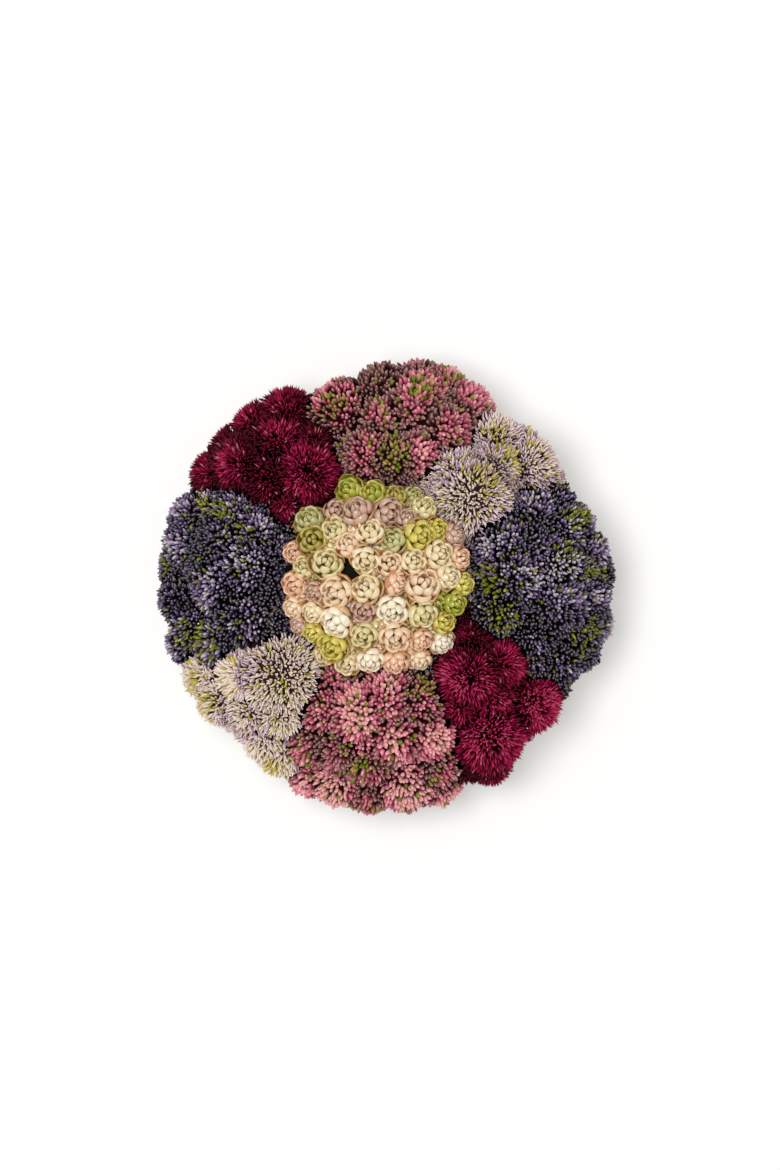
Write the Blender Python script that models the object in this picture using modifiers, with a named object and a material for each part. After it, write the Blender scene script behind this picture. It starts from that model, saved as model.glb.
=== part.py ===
"""A sedum arrangement: eight domed sedum heads round a dome of rosettes, in a low round bowl.

Lengths are metres and +Z is up. Seen from above, +X is to the right and +Y is away from the viewer.
The origin is the centre of the bowl's flat foot. Each head is a core with domes of pointed buds
standing out of it, larger than life, and stands on one stem. The stems stand in holes in the foam.
"""

import math
import random

import bmesh
import bpy
import numpy as np
from mathutils import Matrix, Vector

MM = 0.001
SEED = 11
GAP = 0.3 * MM  # left between pieces that touch

# The bowl is a turned shell. Its wall is a quarter of an ellipse from the foot to the rim.
RIM_RADIUS = 111 * MM
RIM_HEIGHT = 55 * MM
FOOT_RADIUS = 58 * MM
FOOT_HEIGHT = 4 * MM
FOOT_BEVEL = 1 * MM
WALL = 5 * MM
FLOOR = 8 * MM
WALL_POINTS = 6
ROUND_STEPS = 26

# The foam fills the bowl and is domed above the rim.
FOAM_EDGE_HEIGHT = 49 * MM
FOAM_EDGE_RADIUS = 105 * MM
FOAM_TOP_HEIGHT = 72 * MM
FOAM_DOME_POINTS = 3

# The bud clusters lie on a flat mound, and each head has a rise of its own.
SPREAD_RADIUS = 127.6 * MM
MOUND_RADIUS = 119 * MM
MOUND_FOOT = 46 * MM
MOUND_RISE = 51 * MM
HEAD_RISE = 10 * MM
MOUND_EDGE = 0.99  # the share of the radius past which the mound falls no further

# Clusters that cross are pushed apart in small steps, and drawn back towards their places.
SETTLE_STEPS = 160
SETTLE_PUSH = 0.3
ROSETTE_PUSH = 0.4
HOME_PULL = 0.06
HOME_STEPS = 128

# Small clusters fill the gaps between the listed ones, a little lower.
FILLER_REACH = 104 * MM
FILLER_RADIUS = 5.4 * MM
FILLER_LIMIT = 10 * MM
FILLER_OVERLAP = 5 * MM
FILLER_BARE = 0.8 * MM
FILLER_DEPTH = 3 * MM
FILLER_PITCH = 2 * MM

# The rosettes lie on a steeper dome, off the middle.
DOME_CENTRE = Vector((-5.5 * MM, 5.5 * MM, 88 * MM))
DOME_RADIUS = 56 * MM
DOME_RISE = 32 * MM
DOME_EDGE = 0.97
DOME_CORE_RADIUS = 50.2 * MM
DOME_CORE_RISE = 29 * MM
DOME_CORE_DEPTH = 8 * MM
DOME_CORE_SIDES = 16

# A stem meets a flat collar under its head, and leans in towards the foot.
STEM_RADIUS = 2.6 * MM
STEM_LENGTH = 44 * MM
STEM_LEAN = 0.35
COLLAR_RADIUS = 5 * MM
COLLAR_LENGTH = 5 * MM
HUB_DEPTH = 17 * MM
STEM_SIDES = 8

# Each cluster is x, y and outer radius in millimetres, seen from above.
CLUSTERS = {
    "pink_top": [
        (-2, 113, 14.5), (18, 117, 11), (-27, 98, 15.5), (-3, 93, 11), (17, 101, 16), (33, 87, 13),
        (47, 98, 13), (33, 113, 11), (-10, 74, 12), (4, 71, 11), (19, 72, 11), (-24, 75, 9),
    ],
    "burgundy_left": [
        (-96, 62, 12), (-79, 65, 14.5), (-73, 91, 13), (-53, 96, 14), (-60, 79, 13), (-64, 58, 12),
        (-43, 62, 15), (-88, 79, 10), (-55, 44, 8), (-36, 78, 10),
    ],
    "burgundy_right": [
        (43, -46, 15), (62, -42, 12), (47, -27, 9), (58, -61, 10), (81, -64, 14), (57, -82, 18),
        (60, -103, 11), (37, -65, 9), (76, -80, 9),
    ],
    "lavender_right": [
        (47, 50, 17), (36, 63, 12), (60, 83, 12), (80, 66, 14.5), (60, 66, 12), (27, 57, 7),
        (73, 80, 9),
    ],
    "lavender_left": [
        (-57, -47, 16), (-77, -47, 14), (-100, -46, 12), (-91, -63, 13), (-74, -68, 12),
        (-58, -68, 12), (-70, -86, 12), (-58, -93, 11), (-86, -77, 8),
    ],
    "purple_left": [
        (-108, 42, 11), (-84, 42, 12), (-112, 24, 12), (-118, 11, 10), (-91, 27, 12), (-73, 31, 11),
        (-77, 11, 14), (-92, 2, 14), (-115, -7, 12), (-107, -21, 12), (-78, -16, 14),
        (-115, -33, 10), (-94, -32, 12), (-66, -3, 9), (-61, 20, 9), (-98, 14, 10), (-63, -24, 9),
    ],
    "purple_right": [
        (80, 41, 12), (98, 51, 11), (112, 38, 11), (97, 34, 12), (63, 24, 13), (80, 24, 11),
        (92, 13, 13), (113, 21, 12), (117, 7, 10), (68, 5, 15), (112, -6, 11), (92, -11, 15),
        (60, -14, 12), (117, -21, 10), (79, -27, 11), (106, -25, 12), (98, -42, 12),
        (112, -38, 10), (80, -43, 9), (105, 9, 9), (67, 38, 8),
    ],
    "pink_bottom": [
        (-36, -66, 12), (-16, -69, 14), (2, -57, 13), (21, -63, 12), (23, -80, 13), (5, -82, 13),
        (-26, -87, 12), (-44, -86, 11), (-9, -95, 12), (27, -98, 12), (-44, -106, 10),
        (-27, -109, 12), (-9, -113, 12), (11, -107, 14), (30, -113, 11), (11, -119, 8),
        (-31, -52, 8), (-13, -83, 9),
    ],
}

# Each rosette is x, y and radius in millimetres, seen from above.
ROSETTES = [
    (-21, 54, 7), (-8, 52, 7), (4, 50, 6.5), (15, 51, 5), (21, 44, 6.5), (-16, 42, 8), (1, 41, 7.5),
    (-28, 42, 6), (-43, 37, 7.5), (-29, 32, 6.5), (-41, 26, 7.5), (-9, 31, 7), (12, 37, 6),
    (18, 28, 8.5), (28, 32, 6), (4, 26, 6.5), (38, 29, 6.5), (-21, 23, 6.5), (-52, 19, 5.5),
    (-46, 11, 6), (-33, 13, 8), (-12, 15, 7), (15, 14, 6.5), (29, 18, 7.5), (41, 16, 6),
    (2, 13, 6.5), (5, 2, 6.5), (-51, 1, 7), (-40, -3, 5.5), (-28, -3, 8.5), (-11, -1, 7.5),
    (20, 1, 9), (34, 6, 7), (43, 2, 6), (-52, -12, 6), (-41, -14, 6), (-28, -19, 8.5),
    (-13, -13, 6.5), (3, -13, 8), (20, -15, 8), (38, -9, 6.5), (32, -20, 6), (-49, -22, 5.5),
    (-41, -26, 5.5), (-30, -33, 8), (-13, -27, 7), (5, -28, 8), (31, -31, 6.5), (19, -30, 6),
    (-34, -38, 6), (-22, -43, 6.5), (-9, -41, 7), (5, -42, 7), (18, -41, 6.5),
]

# Buds of a cluster: how far their feet are out from its centre, as a share of its radius. A bud
# whose tip is within BUDS_MEET of the radius of a neighbour of the same head is left out.
BUD_FOOT = {"pink": 0.9, "burgundy": 0.8, "lavender": 0.84, "purple": 0.9}
BUDS_MEET = 0.95
CLUSTER_SIDES = 7
SMALL_CLUSTER_SIDES = 6
SMALL_CLUSTER = 13.5 * MM
CLUSTER_RINGS = (math.radians(24), math.radians(64), math.radians(106))
CLUSTER_TILT = 0.35
HEAD_SPAN = 40 * MM

# A rosette from its tip down: radius at the leaf tips and between them, then both heights, as
# shares of its radius. Tips of one layer stand over the gaps of the next.
ROSETTE_SIDES = 10
SMALL_ROSETTE_SIDES = 8
SMALL_ROSETTE = 6.2 * MM
ROSETTE_RINGS = [
    (0.74, 0.54, 0.56, 0.46),
    (0.66, 0.62, 0.20, 0.18),
    (1.24, 1.0, 0.34, 0.16),
]
ROSETTE_TIP = 0.70
ROSETTE_FOOT = -1.5
ROSETTE_LEAN = 0.55
ROSETTE_REACH = 1.12  # its lobes stand this far out, as a share of its radius

ROUGHNESS = {
    "bowl": 0.25,
    "foam": 0.95,
    "stem": 0.6,
    "pink": 0.7,
    "burgundy": 0.7,
    "lavender": 0.7,
    "purple": 0.7,
    "rosette": 0.55,
}
COLOURS = {
    "bowl": (0.83, 0.79, 0.68),
    "foam": (0.10, 0.20, 0.08),
    "stem": (0.16, 0.24, 0.08),
    "pink": (0.50, 0.20, 0.19),
    "burgundy": (0.25, 0.02, 0.04),
    "lavender": (0.60, 0.51, 0.52),
    "purple": (0.24, 0.18, 0.28),
    "rosette": (0.78, 0.68, 0.47),
}


def clear_scene():
    for item in list(bpy.data.objects):
        bpy.data.objects.remove(item, do_unlink=True)


def new_collection(name):
    collection = bpy.data.collections.new(name)
    bpy.context.scene.collection.children.link(collection)
    return collection


def material(kind):
    made = bpy.data.materials.new(kind)
    made.use_nodes = True
    shader = made.node_tree.nodes["Principled BSDF"]
    shader.inputs["Base Color"].default_value = (*COLOURS[kind], 1)
    shader.inputs["Roughness"].default_value = ROUGHNESS[kind]
    made.diffuse_color = (*COLOURS[kind], 1)
    return made


def new_object(name, mesh, collection, surface=None):
    item = bpy.data.objects.new(name, mesh)
    collection.objects.link(item)
    if surface:
        mesh.materials.append(surface)
    return item


def mesh_from(shape, name):
    """Turns a bmesh into a mesh with its faces pointing out, and frees it."""
    bmesh.ops.recalc_face_normals(shape, faces=shape.faces)
    mesh = bpy.data.meshes.new(name)
    shape.to_mesh(mesh)
    shape.free()
    return mesh


def standing(at, axis, spin):
    """The matrix that stands a shape at a point, its +Z along the axis and turned about it."""
    turn = Vector((0, 0, 1)).rotation_difference(axis).to_matrix().to_4x4()
    return Matrix.Translation(at) @ turn @ Matrix.Rotation(spin, 4, "Z")


def mound_height(distance):
    share = min(distance / MOUND_RADIUS, MOUND_EDGE)
    return MOUND_FOOT + MOUND_RISE * math.sqrt(1 - share * share)


def foam_height(distance):
    fall = FOAM_TOP_HEIGHT - FOAM_EDGE_HEIGHT
    return FOAM_TOP_HEIGHT - fall * (distance / FOAM_EDGE_RADIUS) ** 2


def dome_height(distance):
    share = min(distance / DOME_RADIUS, DOME_EDGE)
    return DOME_CENTRE.z + DOME_RISE * math.sqrt(1 - share * share)


def first_places():
    """Puts each cluster on the mound: its head's name, centre and radius."""
    owners, balls = [], []
    for name, clusters in CLUSTERS.items():
        flat = np.array(clusters) * MM
        middle = flat[:, :2].mean(axis=0)
        reach = np.linalg.norm(flat[:, :2] - middle, axis=1)
        for (x, y, radius), away in zip(flat, reach, strict=True):
            rise = HEAD_RISE * (1 - (away / (reach.max() + radius)) ** 2)
            owners.append(name)
            balls.append((x, y, mound_height(math.hypot(x, y)) + rise, radius))
    return owners, np.array(balls)


def clearances(points, discs):
    """How far each point is outside each disc, seen from above."""
    return np.linalg.norm(points[:, None] - discs[None, :, :2], axis=2) - discs[:, -1]


def fill_gaps(owners, balls):
    """Adds small clusters, the widest gap first, until none as wide as a filler is left."""
    steps = np.arange(-FILLER_REACH, FILLER_REACH, FILLER_PITCH)
    grid = np.stack(np.meshgrid(steps, steps), axis=-1).reshape(-1, 2)
    grid = grid[np.linalg.norm(grid, axis=1) < FILLER_REACH]
    to_rosette = clearances(grid, rosette_places()).min(axis=1)
    while True:
        heads = np.array(owners)
        clear = clearances(grid, balls)
        nearest = clear.argmin(axis=1)
        other_head = heads[nearest][:, None] != heads[None]
        to_other = np.minimum(np.where(other_head, clear, 1).min(axis=1), to_rosette)
        own = clear.min(axis=1)
        radius = np.minimum(np.minimum(own + FILLER_OVERLAP, to_other + GAP), FILLER_LIMIT)
        radius[own < FILLER_BARE] = 0
        best = radius.argmax()
        if radius[best] < FILLER_RADIUS:
            return owners, balls
        x, y = grid[best]
        height = mound_height(math.hypot(x, y)) - FILLER_DEPTH
        owners = [*owners, owners[nearest[best]]]
        balls = np.vstack([balls, (x, y, height, radius[best])])


def rosette_places():
    """Each rosette's centre and radius, on the dome."""
    found = []
    for x, y, radius in np.array(ROSETTES) * MM:
        away = math.hypot(x - DOME_CENTRE.x, y - DOME_CENTRE.y)
        found.append((x, y, dome_height(away), radius))
    return np.array(found)


def push_from_circle(centres, radii, circle_radius, circle_height, thickness):
    """Moves clusters straight off a level ring, such as the bowl's rim."""
    level = np.linalg.norm(centres[:, :2], axis=1)
    off = np.stack([level - circle_radius, centres[:, 2] - circle_height], axis=1)
    distance = np.linalg.norm(off, axis=1)
    missing = np.maximum(radii + thickness + GAP - distance, 0) / distance
    outward = centres[:, :2] / level[:, None]
    centres[:, :2] += outward * (off[:, :1] * missing[:, None])
    centres[:, 2] += off[:, 1] * missing


def settled_places():
    """Moves clusters of different heads apart, off the rim and off the rosettes, so none cross."""
    owners, balls = fill_gaps(*first_places())
    rosettes = rosette_places()
    rosettes[:, 3] *= ROSETTE_REACH
    centres, radii = balls[:, :3].copy(), balls[:, 3].copy()
    home = centres.copy()
    heads = np.array(owners)
    other_head = heads[:, None] != heads[None]
    for step in range(SETTLE_STEPS):
        apart = centres[:, None] - centres[None]
        distance = np.linalg.norm(apart, axis=2) + np.eye(len(owners))
        crossing = np.maximum(radii[:, None] + radii[None] + GAP - distance, 0) * other_head
        centres += (apart * (crossing / distance)[:, :, None]).sum(axis=1) * SETTLE_PUSH
        apart = centres[:, None] - rosettes[None, :, :3]
        distance = np.linalg.norm(apart, axis=2)
        crossing_rosette = np.maximum(radii[:, None] + rosettes[None, :, 3] + GAP - distance, 0)
        centres += (apart * (crossing_rosette / distance)[:, :, None]).sum(axis=1) * ROSETTE_PUSH
        if step < HOME_STEPS:
            centres += (home - centres) * HOME_PULL
        push_from_circle(centres, radii, RIM_RADIUS - WALL / 2, RIM_HEIGHT - WALL / 2, WALL / 2)
        level = np.linalg.norm(centres[:, :2], axis=1)
        centres[:, 2] = np.maximum(centres[:, 2], foam_height(level) + radii + GAP)
        too_far = np.minimum((SPREAD_RADIUS - radii) / level, 1)
        centres[:, :2] *= too_far[:, None]
    radii -= np.maximum(crossing.max(axis=1) / 2, crossing_rosette.max(axis=1))
    return owners, centres, radii


def bud_dome(centre, radius, axis, spin, foot_share, neighbours):
    """A dome of pointed buds on a plain cone that roots it in the core.

    Neighbours are the centres of the clusters near it, and how far out their buds hide its own.
    """
    shape = bmesh.new()
    sides = SMALL_CLUSTER_SIDES if radius < SMALL_CLUSTER else CLUSTER_SIDES
    bmesh.ops.create_uvsphere(shape, u_segments=sides, v_segments=4, radius=1)
    bottom = min(shape.verts, key=lambda v: v.co.z)
    levels = sorted({round(v.co.z, 3) for v in shape.verts}, reverse=True)[1:-1]
    angles = dict(zip(levels, CLUSTER_RINGS, strict=True))
    for vert in shape.verts:
        angle = angles.get(round(vert.co.z, 3))
        if angle is not None:
            around = Vector((vert.co.x, vert.co.y)).normalized() * math.sin(angle)
            vert.co = (around.x, around.y, math.cos(angle))
    top = max(shape.verts, key=lambda v: v.co.z)
    bmesh.ops.dissolve_verts(shape, verts=[top])
    bmesh.ops.scale(shape, vec=Vector((1, 1, 1)) * radius * foot_share, verts=shape.verts)
    bmesh.ops.transform(shape, matrix=standing(centre, axis, spin), verts=shape.verts)
    budding = []
    for face in shape.faces:
        tip = centre + (face.calc_center_median() - centre).normalized() * radius
        seen = all((tip - other).length > hidden for other, hidden in neighbours)
        if seen and bottom not in face.verts:
            budding.append(face)
    for vert in bmesh.ops.poke(shape, faces=budding)["verts"]:
        vert.co = centre + (vert.co - centre).normalized() * radius
    return mesh_from(shape, "buds")


def rosette(radius):
    """A rosette about the origin, facing +Z: layers of leaves as lobed rings round a bud."""
    shape = bmesh.new()
    rings = len(ROSETTE_RINGS)
    sides = SMALL_ROSETTE_SIDES if radius < SMALL_ROSETTE else ROSETTE_SIDES
    bmesh.ops.create_uvsphere(shape, u_segments=sides, v_segments=rings + 1, radius=1)
    for vert in shape.verts:
        ring = round(math.acos(max(-1, min(1, vert.co.z))) / math.pi * (rings + 1))
        if ring in (0, rings + 1):
            vert.co = (0, 0, (ROSETTE_FOOT if ring else ROSETTE_TIP) * radius)
            continue
        tip, between, tip_height, between_height = ROSETTE_RINGS[ring - 1]
        angle = math.atan2(vert.co.y, vert.co.x)
        place_round = round(angle / math.tau * sides) % sides
        layer = (ring + 1) // 2
        at_tip = (place_round + layer) % 2 == 0
        out = (tip if at_tip else between) * radius
        height = (tip_height if at_tip else between_height) * radius
        vert.co = (out * math.cos(angle), out * math.sin(angle), height)
    return mesh_from(shape, "rosette")


def cylinder(start, end, radius):
    """A round bar from one point to another."""
    start, end = Vector(start), Vector(end)
    shape = bmesh.new()
    bmesh.ops.create_cone(
        shape, cap_ends=True, segments=STEM_SIDES, radius1=radius, radius2=radius, depth=(end - start).length
    )
    mesh = mesh_from(shape, "bar")
    mesh.transform(standing((start + end) / 2, (end - start).normalized(), 0))
    return mesh


def largest_body(mesh):
    """Drops loose scraps and the inner walls of sealed hollows."""
    shape = bmesh.new()
    shape.from_mesh(mesh)
    unseen, bodies = set(shape.verts), []
    while unseen:
        todo, body = [unseen.pop()], []
        while todo:
            vert = todo.pop()
            body.append(vert)
            for edge in vert.link_edges:
                other = edge.other_vert(vert)
                if other in unseen:
                    unseen.remove(other)
                    todo.append(other)
        bodies.append(body)
    bodies.sort(key=len, reverse=True)
    loose = [vert for body in bodies[1:] for vert in body]
    bmesh.ops.delete(shape, geom=loose, context="VERTS")
    shape.to_mesh(mesh)
    shape.free()


def fuse(core, pieces, helpers):
    """Joins the pieces to the core in one body, and removes them."""
    parts = bpy.data.collections.new("pieces")
    helpers.children.link(parts)
    for mesh in pieces:
        new_object("piece", mesh, parts)
    union = core.modifiers.new("union", "BOOLEAN")
    union.operation = "UNION"
    union.operand_type = "COLLECTION"
    union.collection = parts
    union.solver = "EXACT"
    graph = bpy.context.evaluated_depsgraph_get()
    joined = bpy.data.meshes.new_from_object(core.evaluated_get(graph))
    core.modifiers.clear()
    core.data = joined
    for item in list(parts.objects):
        bpy.data.objects.remove(item, do_unlink=True)
    bpy.data.collections.remove(parts)
    largest_body(joined)


def hub_of(centres):
    """Where a head's stem meets it, and the way the stem runs down from there."""
    middle = Vector(centres.mean(axis=0))
    hub = middle - Vector((0, 0, HUB_DEPTH))
    down = Vector((-middle.x * STEM_LEAN, -middle.y * STEM_LEAN, -STEM_LENGTH)).normalized()
    return hub, down


def sedum_head(name, centres, radii, model, helpers, surface, chance):
    """A core through the cluster centres, with a dome of buds on each and a collar below."""
    hub, down = hub_of(centres)
    shape = bmesh.new()
    for centre in centres:
        shape.verts.new(Vector(centre))
    shape.verts.new(hub)
    hull = bmesh.ops.convex_hull(shape, input=shape.verts)
    inside = [g for g in hull["geom_interior"] if isinstance(g, bmesh.types.BMVert)]
    bmesh.ops.delete(shape, geom=inside, context="VERTS")
    core = new_object(f"head_{name}", mesh_from(shape, name), model, surface)
    middle = Vector(centres.mean(axis=0))
    pieces = [cylinder(hub - down * COLLAR_LENGTH, hub + down * COLLAR_LENGTH, COLLAR_RADIUS)]
    foot_share = BUD_FOOT[name.split("_")[0]]
    clusters = [(Vector(c), r) for c, r in zip(centres, radii, strict=True)]
    for centre, radius in clusters:
        outward = Vector((centre.x, centre.y, 0)) / MOUND_RADIUS
        from_middle = (centre - middle) / HEAD_SPAN
        axis = Vector((0, 0, 1)) + (outward + from_middle) * CLUSTER_TILT
        neighbours = [(c, r * BUDS_MEET) for c, r in clusters if c != centre]
        spin = chance.uniform(0, math.tau)
        pieces.append(bud_dome(centre, radius, axis.normalized(), spin, foot_share, neighbours))
    fuse(core, pieces, helpers)
    return hub + down * COLLAR_LENGTH, down


def rosette_head(model, helpers, surface, chance):
    """A domed core with the rosettes standing out of it."""
    shape = bmesh.new()
    bmesh.ops.create_uvsphere(shape, u_segments=DOME_CORE_SIDES, v_segments=8, radius=1)
    for vert in shape.verts:
        tall = DOME_CORE_RISE if vert.co.z > 0 else DOME_CORE_DEPTH
        size = Vector((DOME_CORE_RADIUS, DOME_CORE_RADIUS, tall))
        vert.co = DOME_CENTRE + vert.co * size
    core = new_object("rosette_head", mesh_from(shape, "rosettes"), model, surface)
    down = Vector((0, 0, -1))
    hub = DOME_CENTRE + down * DOME_CORE_DEPTH
    pieces = [cylinder(hub - down * COLLAR_LENGTH, hub + down * COLLAR_LENGTH, COLLAR_RADIUS)]
    for x, y, z, radius in rosette_places():
        mesh = rosette(radius)
        out = Vector((x, y, 0)) - Vector((DOME_CENTRE.x, DOME_CENTRE.y, 0))
        axis = Vector((0, 0, 1)) + out / DOME_RADIUS * ROSETTE_LEAN
        mesh.transform(standing(Vector((x, y, z)), axis.normalized(), chance.uniform(0, math.tau)))
        pieces.append(mesh)
    fuse(core, pieces, helpers)
    return hub + down * COLLAR_LENGTH, down


def turned(name, profile, collection, surface=None):
    """A profile turned about the Z axis, from the outer side's top to the inner side's."""
    mesh = bpy.data.meshes.new(name)
    points = [(radius, 0, height) for radius, height in profile]
    mesh.from_pydata(points, [(i, i + 1) for i in range(len(points) - 1)], [])
    item = new_object(name, mesh, collection, surface)
    screw = item.modifiers.new("turn", "SCREW")
    screw.steps = screw.render_steps = ROUND_STEPS
    screw.use_merge_vertices = True
    screw.merge_threshold = 0.01 * MM
    return item


def wall_curve(top, rim, floor, foot):
    """Points down a bowl's wall from its rim, on a quarter of an ellipse."""
    for i in range(WALL_POINTS):
        angle = math.pi / 2 * (1 - i / (WALL_POINTS - 1))
        yield foot + (rim - foot) * math.sin(angle), floor + (top - floor) * (1 - math.cos(angle))


def inner_wall():
    """The inside of the bowl's wall, from under the lip down to the floor."""
    return list(wall_curve(RIM_HEIGHT - WALL / 2, RIM_RADIUS - WALL, FLOOR, FOOT_RADIUS - WALL))


def bowl(model, surface):
    outer = list(wall_curve(RIM_HEIGHT - WALL / 2, RIM_RADIUS, FOOT_HEIGHT, FOOT_RADIUS))
    lip = [
        (RIM_RADIUS - WALL / 2 + WALL / 2 * math.cos(a), RIM_HEIGHT - WALL / 2 + WALL / 2 * math.sin(a))
        for a in (math.radians(120), math.radians(60))
    ]
    foot = [(FOOT_RADIUS - FOOT_BEVEL, 0), (0, 0)]
    return turned("bowl", [(0, FLOOR), *inner_wall()[::-1], *lip, *outer, *foot], model, surface)


def foam(model, cutters, surface, stems):
    """Fills the bowl to just under its rim, domed on top, with a plain hole for each stem."""
    wall = [(radius - GAP, height + GAP) for radius, height in inner_wall()]
    (high_radius, high), (low_radius, low) = wall[0], wall[1]
    share = (FOAM_EDGE_HEIGHT - low) / (high - low)
    edge = low_radius + (high_radius - low_radius) * share
    across = [edge * i / FOAM_DOME_POINTS for i in range(FOAM_DOME_POINTS + 1)]
    dome = [(radius, foam_height(radius)) for radius in across]
    item = turned("foam", [*dome, *wall[1:], (0, FLOOR + GAP)], model, surface)
    for start, down in stems:
        mesh = cylinder(start, start + down * (STEM_LENGTH + 2 * GAP), STEM_RADIUS + GAP)
        cutter = new_object("stem_hole", mesh, cutters)
        cutter.hide_render = True
        cutter.display_type = "WIRE"
    holes = item.modifiers.new("stem holes", "BOOLEAN")
    holes.operation = "DIFFERENCE"
    holes.operand_type = "COLLECTION"
    holes.collection = cutters
    holes.solver = "EXACT"


def main():
    clear_scene()
    model = new_collection("sedum arrangement")
    cutters = new_collection("stem holes")
    helpers = new_collection("pieces to join")
    surfaces = {kind: material(kind) for kind in COLOURS}
    chance = random.Random(SEED)
    bowl(model, surfaces["bowl"])
    owners, centres, radii = settled_places()
    stems = {}
    for name in CLUSTERS:
        own = [i for i, owner in enumerate(owners) if owner == name]
        surface = surfaces[name.split("_")[0]]
        stems[name] = sedum_head(name, centres[own], radii[own], model, helpers, surface, chance)
    stems["rosettes"] = rosette_head(model, helpers, surfaces["rosette"], chance)
    for name, (foot, down) in stems.items():
        mesh = cylinder(foot + down * GAP, foot + down * (GAP + STEM_LENGTH), STEM_RADIUS)
        new_object(f"stem_{name}", mesh, model, surfaces["stem"])
    foam(model, cutters, surfaces["foam"], list(stems.values()))
    bpy.data.collections.remove(helpers)


main()
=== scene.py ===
import math
from dataclasses import dataclass

import bmesh
import bpy
import numpy as np
from mathutils import Matrix, Vector


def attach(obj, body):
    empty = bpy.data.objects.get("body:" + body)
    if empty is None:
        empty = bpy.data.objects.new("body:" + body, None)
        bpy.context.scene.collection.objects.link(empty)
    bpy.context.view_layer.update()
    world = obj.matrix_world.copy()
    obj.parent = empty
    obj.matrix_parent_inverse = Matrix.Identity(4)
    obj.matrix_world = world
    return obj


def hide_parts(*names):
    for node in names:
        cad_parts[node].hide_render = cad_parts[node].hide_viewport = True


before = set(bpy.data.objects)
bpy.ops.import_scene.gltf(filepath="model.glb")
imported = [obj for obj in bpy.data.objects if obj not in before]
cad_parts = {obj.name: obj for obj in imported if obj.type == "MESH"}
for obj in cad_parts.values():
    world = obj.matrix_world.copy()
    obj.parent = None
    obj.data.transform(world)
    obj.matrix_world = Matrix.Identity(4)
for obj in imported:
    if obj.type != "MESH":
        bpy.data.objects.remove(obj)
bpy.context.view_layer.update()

MM = 0.001
GAP = 0.3 * MM
SEED = 23
GOLDEN_ANGLE = math.pi * (3 - math.sqrt(5))
CHART = "OFBake"  # the map whose U is a shade of a palette and whose V runs from root to tip
CHART_LIMITS = (0.002, 0.998)
# The root strip holds the buds' painted root shade, and the cores take it too.
ROOT_SHADE_STRIP = 0.06  # the part of the chart, up from the root, that the dark cores use
TINY = 1e-6
NEARLY_UPRIGHT = 0.9

# The bowl, the foam and the stems have the sizes of the frame's solids.
RIM_RADIUS = 111 * MM
RIM_HEIGHT = 55 * MM
FOOT_RADIUS = 58 * MM
FOOT_HEIGHT = 4 * MM
WALL = 5 * MM
BOWL_FLOOR = 8 * MM
BOWL_STEPS = 96
BOWL_WALL_POINTS = 14
LIP_ANGLES = (157.5, 135, 112.5, 90, 67.5, 45, 22.5)
FOOT_RING = ((0, 1), (0.3, 0.3), (1, 0), (6, 0), (7, 1.4))  # in from the foot and up, in millimetres
UNDERSIDE_HEIGHT = 2 * MM
WELD = 0.01 * MM
FOAM_EDGE_HEIGHT = 49 * MM
FOAM_EDGE_RADIUS = 105 * MM
FOAM_TOP_HEIGHT = 72 * MM
STEM_RADIUS = 2.6 * MM
STEM_LENGTH = 44 * MM
STEM_LEAN = 0.35
HUB_DEPTH = 17 * MM
COLLAR_LENGTH = 5 * MM
BRANCH_RADIUS = 1.3 * MM
BRANCH_STOP = 3 * MM
STALK_SIDES = 9
STALK_TAPER = 0.72

# The bud clusters lie on a flat mound, and each head has a rise of its own. They settle in steps:
# apart from each other and from the rosettes, and back towards their places in the first ones.
SPREAD_RADIUS = 127.6 * MM
MOUND_RADIUS = 119 * MM
MOUND_FOOT = 46 * MM
MOUND_RISE = 51 * MM
HEAD_RISE = 10 * MM
MOUND_EDGE = 0.99
HEAD_SPAN = 40 * MM
CLUSTER_TILT = 0.35
SETTLE_STEPS = 160
SETTLE_PUSH = 0.3
ROSETTE_PUSH = 0.4
HOME_PULL = 0.06
HOME_STEPS = 128

# Small clusters fill the gaps between the listed ones, a little lower.
FILLER_REACH = 104 * MM
FILLER_RADIUS = 5.4 * MM
FILLER_LIMIT = 10 * MM
FILLER_OVERLAP = 5 * MM
FILLER_BARE = 0.8 * MM
FILLER_DEPTH = 3 * MM
FILLER_PITCH = 2 * MM

# Deeper clusters close what is still bare from above.
DEEP_REACH = 109 * MM
DEEP_BARE = -1.2 * MM
DEEP_OVERLAP = 6 * MM
DEEP_SMALLEST = 6 * MM
DEEP_LARGEST = 9 * MM
DEEP_BELOW = 3.5 * MM
DEEP_BETWEEN_HEADS = 6.5 * MM
DEEP_FOAM = 2 * MM
DEEP_UNDER_ROSETTES = 4 * MM
DEEP_NEIGHBOURS = 3

# The rosettes lie on a steeper dome, off the middle, with a dark core under it.
DOME_CENTRE = Vector((-5.5 * MM, 5.5 * MM, 88 * MM))
DOME_RADIUS = 56 * MM
DOME_RISE = 32 * MM
DOME_EDGE = 0.97
DOME_CORE_RADIUS = 50.2 * MM
DOME_CORE_RISE = 26 * MM
DOME_CORE_DEPTH = 8 * MM
ROSETTE_LEAN = 0.85
ROSETTE_REACH = 1.12

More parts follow.
